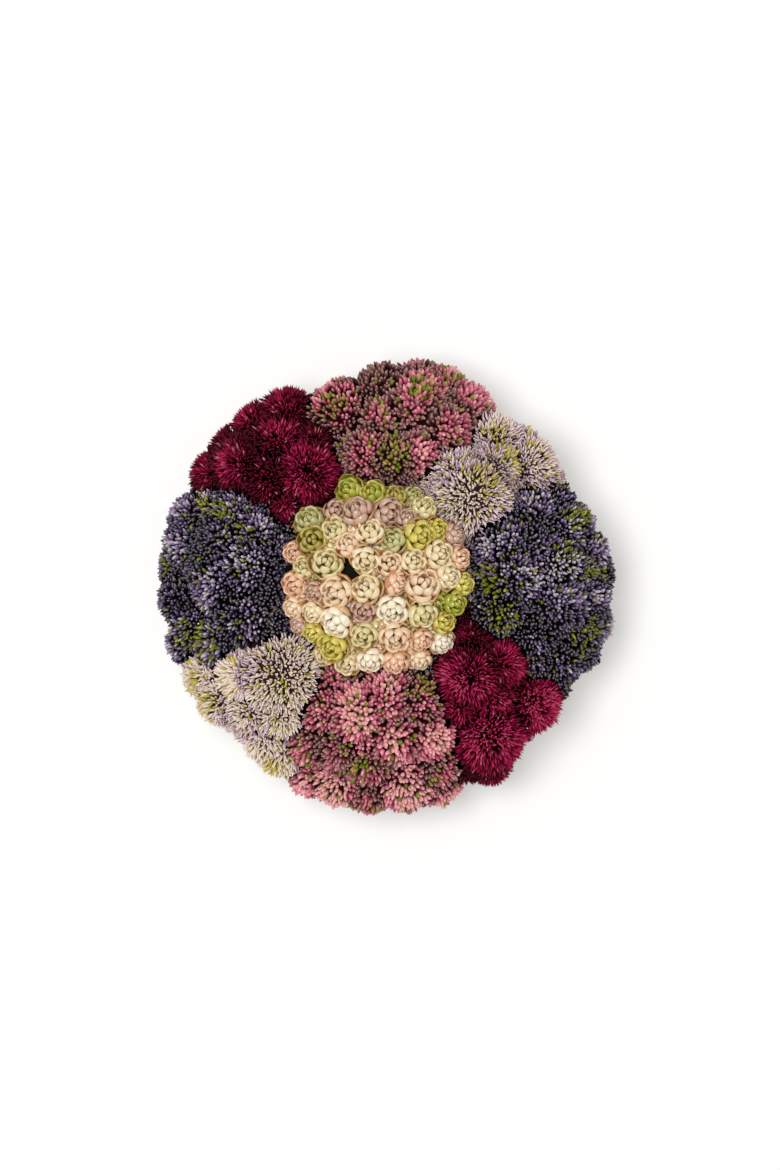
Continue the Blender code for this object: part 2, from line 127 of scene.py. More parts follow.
# Each cluster is x, y and outer radius in millimetres, seen from above.
CLUSTERS = {
    "pink_top": [
        (-2, 109, 14.5), (18, 115, 11), (-27, 98, 15.5), (-3, 93, 11), (17, 101, 16), (33, 87, 13),
        (47, 98, 13), (33, 113, 11), (-10, 74, 12), (4, 71, 11), (19, 72, 11), (-24, 75, 9),
    ],
    "burgundy_left": [
        (-96, 62, 12), (-79, 65, 14.5), (-73, 91, 13), (-53, 96, 14), (-60, 79, 13), (-64, 58, 12),
        (-43, 62, 15), (-88, 79, 10), (-55, 44, 8), (-36, 78, 10), (-101, 53, 9.5),
    ],
    "burgundy_right": [
        (43, -46, 15), (62, -42, 12), (47, -27, 9), (58, -61, 10), (81, -64, 14), (57, -82, 18),
        (57, -99, 11), (37, -65, 9), (72, -77, 8.5),
    ],
    "lavender_right": [
        (47, 50, 17), (36, 63, 12), (60, 83, 12), (80, 66, 14.5), (60, 66, 12), (27, 57, 7),
        (73, 80, 9),
    ],
    "lavender_left": [
        (-58, -46, 18), (-78, -48, 13), (-100, -46, 12), (-91, -63, 13), (-74, -68, 12),
        (-58, -68, 12), (-68, -83, 11.5), (-58, -93, 11), (-80, -73, 8),
    ],
    "purple_left": [
        (-107, 44, 12), (-84, 42, 12), (-112, 24, 12), (-118, 11, 10), (-91, 27, 12), (-73, 31, 11),
        (-77, 11, 14), (-92, 2, 14), (-115, -7, 12), (-107, -21, 12), (-78, -16, 14),
        (-115, -33, 10), (-94, -32, 12), (-66, -3, 9), (-61, 20, 9), (-98, 14, 10), (-63, -24, 9),
        (-97, 46, 9),
    ],
    "purple_right": [
        (80, 41, 12), (91, 48, 11), (104, 36, 10), (96, 33, 12), (63, 24, 13), (80, 24, 11),
        (92, 13, 13), (111, 20, 11), (116, 7, 10), (68, 5, 15), (112, -6, 11), (92, -11, 15),
        (60, -14, 12), (117, -21, 10), (79, -27, 11), (106, -25, 12), (95, -42, 12),
        (108, -37, 10), (80, -43, 9), (105, 9, 9), (67, 38, 8),
    ],
    "pink_bottom": [
        (-36, -66, 12), (-16, -69, 14), (2, -57, 13), (21, -63, 12), (23, -80, 13), (5, -82, 13),
        (-26, -87, 12), (-44, -86, 11), (-9, -95, 12), (27, -98, 12), (-44, -106, 10),
        (-27, -109, 12), (-9, -113, 12), (11, -107, 14), (29, -110, 11), (11, -118, 8),
        (-31, -52, 8), (-13, -83, 9),
    ],
}

# What each cluster looks like, in the order above: n plain, d dark, t dull, p pale, b bright,
# s a little green in the middle, g much green there, y pale with green, l dark with most green.
LOOKS = {
    "pink_top": "tnsnsnnsnlnd",
    "burgundy_left": "nnnbndnnndn",
    "burgundy_right": "nbnnbbbnd",
    "lavender_right": "ynypgny",
    "lavender_left": "pnyynpbyn",
    "purple_left": "ngdgdgbndgnngddtdg",
    "purple_right": "ndgggngntgnngbngnddgd",
    "pink_bottom": "bnnsbnttltnbtbntdb",
}
# Fillers and deep clusters lie low in the gaps and take a dark or dull look: partly painted shade for
# their low place, partly the heads' own dull patches. Lavender's stay plain.
FILLER_SHADED_LOOKS = {"pink": "t", "burgundy": "d", "lavender": "n", "purple": "d"}

# Each look: how far its shades lie from its kind's, and how far out from the middle, in radians,
# the green buds reach.
SHADES = {
    "n": (0.00, 0.10),
    "d": (-0.18, 0.05),
    "t": (-0.24, 0.25),
    "p": (0.12, 0.20),
    "b": (0.12, 0.00),
    "g": (0.00, 0.75),
    "y": (0.10, 0.55),
    "l": (-0.22, 0.95),
    "s": (0.00, 0.50),
}

# Plain buds keep to the lower part of a palette. Green ones lie in its end, round a spot that is
# off the cluster's middle and has a ragged edge, and a share of the buds there is green.
PLAIN_LIMITS = (0.02, 0.68)
GREEN_START = (0.68, 0.78)
GREEN_LIMITS = (0.76, 0.98)
GREEN_SHADE = (0.86, 0.075)
GREEN_OFF_MIDDLE = 0.35
GREEN_EDGE = (0.6, 1.2)
GREEN_SHARE = 0.62

# How much shade, size and splay differ from cluster to cluster, from place to place and from bud
# to bud, and how much of a palette goes round one bud.
CLUSTER_SPREAD = 0.05
CLUSTER_BUD_SIZE = 0.08
CLUSTER_BUD_SPLAY = 0.12
PATCH_SIZE = 11 * MM
PATCH_WAVES = 6
BUD_SIZE = 0.11
BUD_SIZE_LIMITS = (0.7, 1.3)
BUD_JITTER = 0.22
BUD_JITTER_POLE = 0.2
SHADE_WIDTH = 0.03
TIP_REACH = (0.84, 1.03)  # shares of the cluster's radius
# Where a bud's pale tip, partly painted highlight, starts and ends, from root to tip.
FROST_AND_HIGHLIGHT_RISE = (0.76, 0.98)
SHEEN_RISE = (0.25, 0.55)

# Each rosette is x, y and radius in millimetres, seen from above.
ROSETTES = [
    (-21, 54, 7), (-8, 52, 7), (4, 50, 6.5), (15, 51, 5), (21, 44, 6.5), (-16, 42, 8), (1, 41, 7.5),
    (-28, 42, 6), (-43, 37, 7.5), (-29, 32, 6.5), (-41, 26, 7.5), (-9, 31, 7), (12, 37, 6),
    (18, 28, 8.5), (28, 32, 6), (4, 26, 6.5), (38, 29, 6.5), (-21, 23, 6.5), (-52, 19, 5.5),
    (-46, 11, 6), (-33, 13, 8), (-12, 15, 7), (15, 14, 6.5), (29, 18, 7.5), (41, 16, 6),
    (2, 13, 6.5), (5, 2, 6.5), (-51, 1, 7), (-40, -3, 5.5), (-28, -3, 8.5), (-11, -1, 7.5),
    (20, 1, 9), (34, 6, 7), (43, 2, 6), (-52, -12, 6), (-41, -14, 6), (-28, -19, 8.5),
    (-13, -13, 6.5), (3, -13, 8), (20, -15, 8), (38, -9, 6.5), (32, -20, 6), (-49, -22, 5.5),
    (-41, -26, 5.5), (-30, -33, 8), (-13, -27, 7), (5, -28, 8), (31, -31, 6.5), (19, -30, 6),
    (-34, -38, 6), (-22, -43, 6.5), (-9, -41, 7), (5, -42, 7), (18, -41, 6.5),
]

# The shade of each rosette, in the order above, and what each letter stands for. A leaf reaches
# about half a step into the colours beside its own, so r and b tint the leaves of p and k.
ROSETTE_SHADES = "llogvkkkgvockyygkepvvcccpeppkececyecwkwvlykyyvewpccwpe"
ROSETTE_PALETTE = {
    "l": (0.30, 0.34, 0.018),
    "y": (0.63, 0.52, 0.09),
    "o": (0.36, 0.29, 0.045),
    "g": (0.47, 0.45, 0.18),
    "v": (0.68, 0.58, 0.27),
    "c": (0.77, 0.62, 0.35),
    "w": (0.86, 0.77, 0.57),
    "e": (0.78, 0.57, 0.34),
    "p": (0.77, 0.47, 0.29),
    "r": (0.67, 0.35, 0.19),
    "k": (0.52, 0.33, 0.23),
    "b": (0.40, 0.23, 0.16),
}

# Leaves of a rosette in layers from outside: how many, half the angle each spans, in degrees, how
# thick they are, and the radius and height of the foot, the bend and the tip, as shares of its
# radius.
ROSETTE_LAYERS = [
    (5, 42, 0.07, (0.12, -0.50), (1.06, -0.42), (0.94, 0.20)),
    (5, 40, 0.13, (0.10, -0.24), (1.00, -0.08), (0.72, 0.44)),
    (5, 40, 0.15, (0.05, -0.10), (0.76, 0.16), (0.36, 0.60)),
    (3, 62, 0.15, (0.00, 0.10), (0.36, 0.42), (0.02, 0.74)),
]
# Painted shade toward the leaves' roots; the outer leaves' own peach with painted shade; a random
# mottle between a deeper and a paler tone; a painted highlight on the inner leaves; and their own
# peach edges, with how much of them shows.
ROSETTE_ROOT_PAINTED_SHADE = (0.32, 0.19, 0.08, 1)
ROSETTE_OUTER_TINT_AND_SHADE = (0.76, 0.54, 0.36, 1)
ROSETTE_MOTTLE_DEEP = (0.62, 0.55, 0.42, 1)
ROSETTE_MOTTLE_PALE = (1.22, 1.23, 1.26, 1)
ROSETTE_PAINTED_HIGHLIGHT = (1.10, 1.14, 1.28, 1)
ROSETTE_EDGE = (0.84, 0.60, 0.38, 1)
ROSETTE_EDGE_SHARE = 0.5

# Where these start and end along a leaf, from root to tip. The chart's lower half is for the outer
# leaves, and its upper half for the inner ones.
ROOT_PAINTED_SHADE_RISE = (0.34, 0.80)
PAINTED_HIGHLIGHT_RISE = (0.50, 0.80)
EDGE_RISE = (0.90, 1.0)
INNER_BAND = 0.5
INNER_STEP = (0.499, 0.501)
BAND_MARGIN = 0.02
BAND_SPAN = 0.46
MOTTLE_SCALE = 420.0

# The form of a leaf, and how much leaves differ.
LEAF_SHADE = 0.17
LEAF_SHADE_WIDTH = 0.25
LEAF_SIDE_REACH = 0.15
LEAF_TURN = 0.10
LEAF_SIZE = 0.05
LEAF_FULLNESS = 0.55
LEAF_BELLY = 0.20
LEAF_BREADTH = 0.1
LEAF_SIDES = 10
LEAF_ROWS = 6
LEAF_SWIRL = 0.06

ROSETTE_FORMS = 5
ROSETTE_WOBBLE = 0.25
ROSETTE_SWELL = 1.17
ROSETTE_GATHER = 0.955
SHADE_LIMITS = (0.02, 0.98)

# Small rosettes fill the bare places on the dome, except for the one that the photo shows open.
OPEN_PLACE = (-21.5 * MM, 6.6 * MM)
OPEN_PLACE_RADIUS = 9 * MM
BARE_REACH = 42 * MM
BARE_PITCH = 1 * MM
BARE_LIMIT = 0.9 * MM
BARE_OVERLAP = 4.6 * MM
BARE_DEPTH = 6.5 * MM


@dataclass
class Bud:
    """The buds of one kind of sedum, and their colours.

    Rings are height and radius from the tip down, as shares of length and half width. Splay is how
    far a bud leans out for each degree that it stands off its cluster's axis, hollow how many
    degrees round that axis are bare, wobble how much the buds differ in lean, and flow how much
    they follow the lines out of the head's hub. Shade is the usual place in the palette, spread
    and patches how much it differs from bud to bud and from place to place, and strays the share
    of green buds where no spot is. Root is painted shade at the bud's root, and rise is where it
    gives way to the palette, from root to tip. Tip is a pale colour over the end of the bud, partly
    the buds' own and partly painted highlight, and the field after it is how much of it shows.
    """

    spacing: float
    width: float
    length: float
    sides: int
    rings: tuple
    splay: float
    hollow: float
    wobble: float
    flow: float
    shade: float
    spread: float
    patches: float
    strays: float
    palette: tuple
    root: tuple
    rise: tuple
    tip: tuple
    frost_and_highlight: float
    roughness: float
    gloss: float


PLUMP = ((0.95, 0.34), (0.80, 0.76), (0.58, 1.0), (0.28, 0.76))
SPIKE = ((0.72, 0.70), (0.36, 0.96))
GRAIN = ((0.92, 0.44), (0.70, 0.96), (0.36, 0.86))
# The last three shades of each palette are for green buds, or in burgundy for pale ones.
# Root is painted shade at the buds' roots. Tip is partly the buds' own pale tips and partly painted
# highlight.
BUDS = {
    "pink": Bud(
        spacing=2.8 * MM, width=2.45 * MM, length=7.2 * MM, sides=6, rings=PLUMP,
        splay=1.15, hollow=0, wobble=0.17, flow=0.7,
        shade=0.45, spread=0.10, patches=0.13, strays=0.05,
        palette=(
            (0.050, 0.014, 0.009), (0.15, 0.055, 0.042), (0.28, 0.13, 0.10), (0.27, 0.042, 0.068),
            (0.46, 0.075, 0.130), (0.66, 0.17, 0.235), (0.86, 0.38, 0.41), (0.46, 0.30, 0.10),
            (0.13, 0.16, 0.010), (0.26, 0.28, 0.03),
        ),
        root=(0.022, 0.001, 0.004), rise=(0.32, 0.86), tip=(0.95, 0.58, 0.60), frost_and_highlight=0.28,
        roughness=0.38, gloss=0.15,
    ),
    "burgundy": Bud(
        spacing=1.85 * MM, width=1.55 * MM, length=9.2 * MM, sides=4, rings=SPIKE,
        splay=1.4, hollow=7, wobble=0.12, flow=0.25,
        shade=0.47, spread=0.14, patches=0.15, strays=0.03,
        palette=(
            (0.02, 0.0005, 0.002), (0.06, 0.001, 0.006), (0.12, 0.002, 0.014), (0.20, 0.004, 0.024),
            (0.31, 0.005, 0.050), (0.46, 0.012, 0.082), (0.60, 0.05, 0.14), (0.50, 0.10, 0.13),
            (0.55, 0.15, 0.18), (0.62, 0.20, 0.23),
        ),
        root=(0.003, 0.0, 0.0004), rise=(0.38, 0.88), tip=(0.60, 0.05, 0.14), frost_and_highlight=0.30,
        roughness=0.55, gloss=0.04,
    ),
    "lavender": Bud(
        spacing=1.95 * MM, width=1.45 * MM, length=6.8 * MM, sides=5, rings=GRAIN,
        splay=1.3, hollow=4, wobble=0.18, flow=0.5,
        shade=0.43, spread=0.14, patches=0.15, strays=0.08,
        palette=(
            (0.16, 0.085, 0.075), (0.27, 0.16, 0.15), (0.37, 0.245, 0.28), (0.49, 0.345, 0.42),
            (0.62, 0.45, 0.50), (0.75, 0.57, 0.57), (0.82, 0.69, 0.58), (0.56, 0.43, 0.15),
            (0.46, 0.41, 0.06), (0.76, 0.64, 0.14),
        ),
        root=(0.026, 0.010, 0.008), rise=(0.15, 0.66), tip=(0.95, 0.86, 0.82), frost_and_highlight=0.6,
        roughness=0.45, gloss=0.15,
    ),
    "purple": Bud(
        spacing=2.5 * MM, width=2.05 * MM, length=6.6 * MM, sides=5, rings=GRAIN,
        splay=1.35, hollow=0, wobble=0.18, flow=0.6,
        shade=0.45, spread=0.20, patches=0.21, strays=0.05,
        palette=(
            (0.006, 0.005, 0.008), (0.016, 0.011, 0.022), (0.042, 0.030, 0.055), (0.085, 0.045, 0.13),
            (0.18, 0.11, 0.24), (0.36, 0.26, 0.42), (0.60, 0.52, 0.58), (0.16, 0.15, 0.07),
            (0.17, 0.18, 0.01), (0.42, 0.42, 0.05),
        ),
        root=(0.001, 0.0005, 0.001), rise=(0.42, 0.90), tip=(0.86, 0.76, 0.90), frost_and_highlight=0.20,
        roughness=0.40, gloss=0.12,
    ),
}

# How far each head's shades lie from its kind's.
HEAD_SHADES = {
    "pink_top": -0.02, "burgundy_left": -0.17, "burgundy_right": -0.05, "lavender_right": 0.10,
    "lavender_left": 0.27, "purple_left": 0.02, "purple_right": 0.00, "pink_bottom": 0.24,
}

# Buds cover a cluster down to its cap, lean no further than the limit, and flow from a hub below.
BUD_CAP = math.radians(108)
LEAN_LIMIT = math.radians(118)
FLOW_MIDDLE = (0.86, 0.86, 1)
FLOW_DEPTH = 27 * MM

# Buds are left out in another cluster, among the rosettes, and under a cluster away from the
# mass's edge. At that edge they are drawn in to the outline.
BURIED = 1.6 * MM
ROOF_SHARE = 0.85
DOME_CLEAR = 45 * MM
ROOF_DEPTH = 3.5 * MM
OPEN_EDGE = 103 * MM
EDGE_RADIUS = 128 * MM
OUTLINE_MARGIN = (0.8 * MM, 1.0 * MM)

# Scene clusters are wider and lower than the solids', and in a crease between two the buds stand
# up and get painted shade, lower in the palette.
BALL_SINK = 0.40
BALL_SWELL = 1.40
CREASE_WIDTH = 9 * MM
CREASE_LIFT = 1.8 * MM
CREASE_PAINTED_SHADE_WIDTH = 6 * MM
CREASE_PAINTED_SHADE = 0.38

# Cores under the buds keep the light out, and they take the painted shade of the buds' roots.
SMALLEST_CORE = 0.5
CORE_SHARE = 0.64
CORE_INSET = 0.4
HULL_REACH = 92 * MM
HULL_DEPTHS = (9 * MM, 12 * MM)
HULL_CHART_SCALE = 3

# The colours of the glaze, the foam, the stems and the rosettes' core, and where the noise or
# height that mixes them starts and ends.
GLAZE_DEEP = (0.74, 0.68, 0.54, 1)
GLAZE_PALE = (0.86, 0.81, 0.70, 1)
GLAZE_SPECK = (0.42, 0.31, 0.18, 1)
GLAZE_SPECK_RISE = (0.68, 0.76)
GLAZE_SPECK_SHARE = 0.35
GLAZE_START = (1.2 * MM, 2.2 * MM)
GLAZE_ROUGHNESS = 0.23
CLAY = (0.58, 0.44, 0.31, 1)
CLAY_ROUGHNESS = 0.85
# The foam's green is deepened with painted shade, and its pores hold painted shade.
FOAM_WET_SHADED = (0.012, 0.030, 0.010, 1)
FOAM_DRY_SHADED = (0.05, 0.10, 0.035, 1)
FOAM_PORE_SHADE = (0.008, 0.015, 0.006, 1)
FOAM_PORE_SHADE_RISE = (0.1, 0.5)
STEM_DEEP = (0.10, 0.15, 0.035, 1)
STEM_PALE = (0.22, 0.27, 0.08, 1)
STEM_RED = (0.20, 0.09, 0.05, 1)
STEM_RED_RISE = (0.5, 0.75)
# The rosettes' core is near black: painted shade for the depth between them, faintly olive.
CORE_PAINTED_SHADE = (0.003, 0.0025, 0.002, 1)
CORE_PAINTED_SHADE_OLIVE = (0.012, 0.010, 0.004, 1)

# The camera looks straight down, with the picture's long side on the sensor's width. The offset
# goes from the arrangement's middle to the picture's, in pixels.
PICTURE_LONG_SIDE = 1170
PICTURE_OFFSET = (3, 2)
PIXEL = 0.55 * MM
SCALE_HEIGHT = 70 * MM
LENS = 85.0
SENSOR = 36.0

# The light comes from the upper left.
KEY_PLACE = Vector((-0.24, 0.06, 1.60))
KEY_SIZE = 0.50
KEY_POWER = 12.4
LIGHT_AIM = Vector((0, 0, 0.06))
SKY_STRENGTH = 0.72
FLOOR_HALF = 3
FLOOR_COLOUR = (0.92, 0.92, 0.92, 1)


def kind_of(head):
    return head.split("_")[0]


def mound_height(x, y):
    share = min(math.hypot(x, y) / MOUND_RADIUS, MOUND_EDGE)
    return MOUND_FOOT + MOUND_RISE * math.sqrt(1 - share * share)


def foam_height(distance):
    fall = FOAM_TOP_HEIGHT - FOAM_EDGE_HEIGHT
    return FOAM_TOP_HEIGHT - fall * (distance / FOAM_EDGE_RADIUS) ** 2


def dome_height(x, y):
    away = math.hypot(x - DOME_CENTRE.x, y - DOME_CENTRE.y)
    share = min(away / DOME_RADIUS, DOME_EDGE)
    return DOME_CENTRE.z + DOME_RISE * math.sqrt(1 - share * share)


def first_places():
    """Puts each cluster on the mound: its head's name, centre and radius."""
    owners, balls = [], []
    for name, clusters in CLUSTERS.items():
        flat = np.array(clusters) * MM
        middle = flat[:, :2].mean(axis=0)
        reach = np.linalg.norm(flat[:, :2] - middle, axis=1)
        for (x, y, radius), away in zip(flat, reach, strict=True):
            rise = HEAD_RISE * (1 - (away / (reach.max() + radius)) ** 2)
            owners.append(name)
            balls.append((x, y, mound_height(x, y) + rise, radius))
    return owners, np.array(balls)


def grid_points(reach, pitch):
    """Points of a square grid about the middle, seen from above."""
    steps = np.arange(-reach, reach, pitch)
    return np.stack(np.meshgrid(steps, steps), axis=-1).reshape(-1, 2)


def clearances(points, discs):
    """How far each point is outside each disc, seen from above."""
    return np.linalg.norm(points[:, None] - discs[None, :, :2], axis=2) - discs[:, -1]


def fill_gaps(owners, balls):
    """Adds small clusters, the widest gap first, until none as wide as a filler is left."""
    grid = grid_points(FILLER_REACH, FILLER_PITCH)
    grid = grid[np.linalg.norm(grid, axis=1) < FILLER_REACH]
    to_rosette = clearances(grid, rosette_places()).min(axis=1)
    while True:
        heads = np.array(owners)
        clear = clearances(grid, balls)
        nearest = clear.argmin(axis=1)
        other_head = heads[nearest][:, None] != heads[None]
        to_other = np.minimum(np.where(other_head, clear, 1).min(axis=1), to_rosette)
        own = clear.min(axis=1)
        radius = np.minimum(np.minimum(own + FILLER_OVERLAP, to_other + GAP), FILLER_LIMIT)
        radius[own < FILLER_BARE] = 0
        best = radius.argmax()
        if radius[best] < FILLER_RADIUS:
            return owners, balls
        x, y = grid[best]
        height = mound_height(x, y) - FILLER_DEPTH
        owners = [*owners, owners[nearest[best]]]
        balls = np.vstack([balls, (x, y, height, radius[best])])


def rosette_places():
    """Each rosette's centre and radius, on the dome."""
    return np.array([(x, y, dome_height(x, y), radius) for x, y, radius in np.array(ROSETTES) * MM])


def push_from_circle(centres, radii, circle_radius, circle_height, thickness):
    """Moves clusters straight off a level ring, such as the bowl's rim."""
    level = np.linalg.norm(centres[:, :2], axis=1)
    off = np.stack([level - circle_radius, centres[:, 2] - circle_height], axis=1)
    distance = np.linalg.norm(off, axis=1)
    missing = np.maximum(radii + thickness + GAP - distance, 0) / distance
    outward = centres[:, :2] / level[:, None]
    centres[:, :2] += outward * (off[:, :1] * missing[:, None])
    centres[:, 2] += off[:, 1] * missing


def push_apart(centres, radii, others, counts, push):
    """Moves clusters off the balls that they cross, where those count."""
    apart = centres[:, None] - others[None, :, :3]
    distance = np.maximum(np.linalg.norm(apart, axis=2), TINY)
    crossing = np.maximum(radii[:, None] + others[None, :, 3] + GAP - distance, 0) * counts
    centres += (apart * (crossing / distance)[:, :, None]).sum(axis=1) * push


def settled_places():
    """Moves clusters of different heads apart, off the rim and off the rosettes, so none cross."""
    owners, balls = fill_gaps(*first_places())
    rosettes = rosette_places()
    rosettes[:, 3] *= ROSETTE_REACH
    centres, radii = balls[:, :3].copy(), balls[:, 3].copy()
    home = centres.copy()
    heads = np.array(owners)
    other_head = heads[:, None] != heads[None]
    for step in range(SETTLE_STEPS):
        push_apart(centres, radii, np.column_stack([centres, radii]), other_head, SETTLE_PUSH)
        push_apart(centres, radii, rosettes, 1, ROSETTE_PUSH)
        if step < HOME_STEPS:
            centres += (home - centres) * HOME_PULL
        push_from_circle(centres, radii, RIM_RADIUS - WALL / 2, RIM_HEIGHT - WALL / 2, WALL / 2)
        level = np.linalg.norm(centres[:, :2], axis=1)
        centres[:, 2] = np.maximum(centres[:, 2], foam_height(level) + radii + GAP)
        too_far = np.minimum((SPREAD_RADIUS - radii) / level, 1)
        centres[:, :2] *= too_far[:, None]
    return owners, centres, radii


def deep_clusters(owners, centres, radii):
    """Small clusters low in the gaps that are left, each of the nearest head.

    One between heads lies lower, and one among other deep ones less low.
    """
    grid = grid_points(DEEP_REACH, FILLER_PITCH)
    to_rosette = clearances(grid, rosette_places()).min(axis=1)
    inside = (np.linalg.norm(grid, axis=1) < DEEP_REACH) & (to_rosette > -DEEP_UNDER_ROSETTES)
    grid = grid[inside]
    balls = np.column_stack([centres, radii])
    heads = list(owners)
    own = clearances(grid, balls).min(axis=1)
    while own.max() > DEEP_BARE:
        best = own.argmax()
        x, y = grid[best]
        near = clearances(grid[best : best + 1], balls)[0].argsort()[:DEEP_NEIGHBOURS]
        listed = near[near < len(owners)]
        alone = len({heads[i] for i in near}) == 1
        below = (DEEP_BELOW if alone else DEEP_BETWEEN_HEADS) * len(listed) / DEEP_NEIGHBOURS
        height = max(balls[near, 2].mean() - below, foam_height(math.hypot(x, y)) + DEEP_FOAM)
        radius = np.clip(own[best] + DEEP_OVERLAP, DEEP_SMALLEST, DEEP_LARGEST)
        heads.append(heads[near[0]])
        balls = np.vstack([balls, (x, y, height, radius)])
        own = np.minimum(own, np.linalg.norm(grid - grid[best], axis=1) - radius)
    return heads[len(owners):], balls[len(owners):]


class Wire:
    """A socket of a material. Arithmetic on it adds Math nodes."""

    def __init__(self, finish, socket):
        self.finish = finish
        self.socket = socket

    def maths(self, operation, *values):
        return self.finish.node("ShaderNodeMath", {"operation": operation}, dict(enumerate(values)))

    def __sub__(self, other):
        return self.maths("SUBTRACT", self, other)

    def __rsub__(self, other):
        return self.maths("SUBTRACT", other, self)

    def __mul__(self, other):
        return self.maths("MULTIPLY", self, other)

    __rmul__ = __mul__


class Finish:
    """A material being made. Keywords are the shader's fixed sockets."""

    def __init__(self, name, **fixed):
        self.material = bpy.data.materials.new(name)
        self.material.use_nodes = True
        self.nodes = self.material.node_tree.nodes
        self.shader = self.nodes["Principled BSDF"]
        for socket, value in fixed.items():
            self.put(socket.replace("_", " "), value)

    def node(self, kind, settings=None, sockets=None, output=0):
        node = self.nodes.new(kind)
        for key, value in (settings or {}).items():
            if key == "stops":
                set_stops(node.color_ramp, value)
            else:
                setattr(node, key, value)
        for key, value in (sockets or {}).items():
            self.feed(node.inputs[key], value)
        return Wire(self, node.outputs[output])

    def feed(self, socket, value):
        if isinstance(value, Wire):
            self.material.node_tree.links.new(value.socket, socket)
        else:
            socket.default_value = value

    def put(self, socket, value):
        self.feed(self.shader.inputs[socket], value)

    def mix(self, factor, low, high):
        return self.node("ShaderNodeMix", {"data_type": "RGBA"}, {0: factor, 6: low, 7: high}, 2)

    def tinted(self, colour, tint):
        settings = {"data_type": "RGBA", "blend_type": "MULTIPLY"}
        return self.node("ShaderNodeMix", settings, {0: 1.0, 6: colour, 7: tint}, 2)

    def smooth(self, value, low, high):
        """0 below the low value and 1 above the high one, with a smooth step between."""
        sockets = {"Value": value, "From Min": low, "From Max": high}
        return self.node("ShaderNodeMapRange", {"interpolation_type": "SMOOTHSTEP"}, sockets)

    def place(self):
        return self.node("ShaderNodeTexCoord", output="Object")

    def noise(self, scale, detail, vector=None):
        sockets = {"Vector": vector or self.place(), "Scale": scale, "Detail": detail}
        return self.node("ShaderNodeTexNoise", sockets=sockets)

    def bump(self, height, strength, distance):
        sockets = {"Height": height, "Strength": strength, "Distance": distance}
        self.put("Normal", self.node("ShaderNodeBump", sockets=sockets))

    def chart(self):
        """The shade and the place from root to tip, from the piece's own map."""
        uv = self.node("ShaderNodeUVMap", {"uv_map": CHART})
        return [self.node("ShaderNodeSeparateXYZ", sockets={0: uv}, output=i) for i in (0, 1)]


def opaque(colour):
    return (*colour, 1)


def set_stops(ramp, colours):
    """Spreads colours evenly along a ramp."""
    while len(ramp.elements) < len(colours):
        ramp.elements.new(1)
    for i, (element, colour) in enumerate(zip(ramp.elements, colours, strict=True)):
        element.position = i / (len(colours) - 1)
        element.color = opaque(colour)


def bud_finish(kind):
    """Buds: a palette of shades, with painted shade at the root and a pale tip that is partly painted
    highlight.
    """
    bud = BUDS[kind]
    finish = Finish(f"{kind} buds", Specular_IOR_Level=bud.gloss)
    shade, along = finish.chart()
    colour = finish.node("ShaderNodeValToRGB", {"stops": bud.palette}, {0: shade})
    # The root colour is painted shade, and it gives way to the palette along the rise.
    colour = finish.mix(finish.smooth(along, *bud.rise), opaque(bud.root), colour)
    plain = 1 - finish.smooth(shade, *GREEN_START)
    # A pale tip over plain buds: partly their own pale tips and partly painted highlight.
    frost_and_highlight = finish.smooth(along, *FROST_AND_HIGHLIGHT_RISE) * bud.frost_and_highlight * plain
    colour = finish.mix(frost_and_highlight, colour, opaque(bud.tip))
    finish.put("Base Color", colour)
    finish.put("Roughness", 1 - finish.smooth(along, *SHEEN_RISE) * (1 - bud.roughness))
    return finish.material


def rosette_finish():
    """Rosette leaves: a shade each, with painted shade toward the root, outer leaves peach with
    painted shade, and a painted highlight on the inner ones.
    """
    finish = Finish("rosette leaves", Roughness=0.34, Coat_Weight=0.7, Coat_Roughness=0.16)
    shade, along = finish.chart()
    stops = list(ROSETTE_PALETTE.values())
    colour = finish.node("ShaderNodeValToRGB", {"stops": stops}, {0: shade})
    inner = finish.smooth(along, *INNER_STEP)
    reach = (along - inner * INNER_BAND) * (1 / INNER_BAND)
    # The outer leaves: their own peach, with painted shade.
    colour = finish.mix(inner, finish.tinted(colour, ROSETTE_OUTER_TINT_AND_SHADE), colour)
    # Painted shade toward the leaves' roots.
    deep = finish.tinted(colour, ROSETTE_ROOT_PAINTED_SHADE)
    colour = finish.mix(finish.smooth(reach, *ROOT_PAINTED_SHADE_RISE), deep, colour)
    # A random mottle of tone over the leaves.
    mottle = finish.noise(scale=MOTTLE_SCALE, detail=3.0)
    colour = finish.tinted(colour, finish.mix(mottle, ROSETTE_MOTTLE_DEEP, ROSETTE_MOTTLE_PALE))
    # A painted highlight on the upper part of the inner leaves.
    painted_highlight = finish.smooth(reach, *PAINTED_HIGHLIGHT_RISE)
    colour = finish.mix(painted_highlight * inner, colour, finish.tinted(colour, ROSETTE_PAINTED_HIGHLIGHT))
    edge = finish.smooth(reach, *EDGE_RISE) * ROSETTE_EDGE_SHARE
    finish.put("Base Color", finish.mix(edge, colour, ROSETTE_EDGE))
    return finish.material


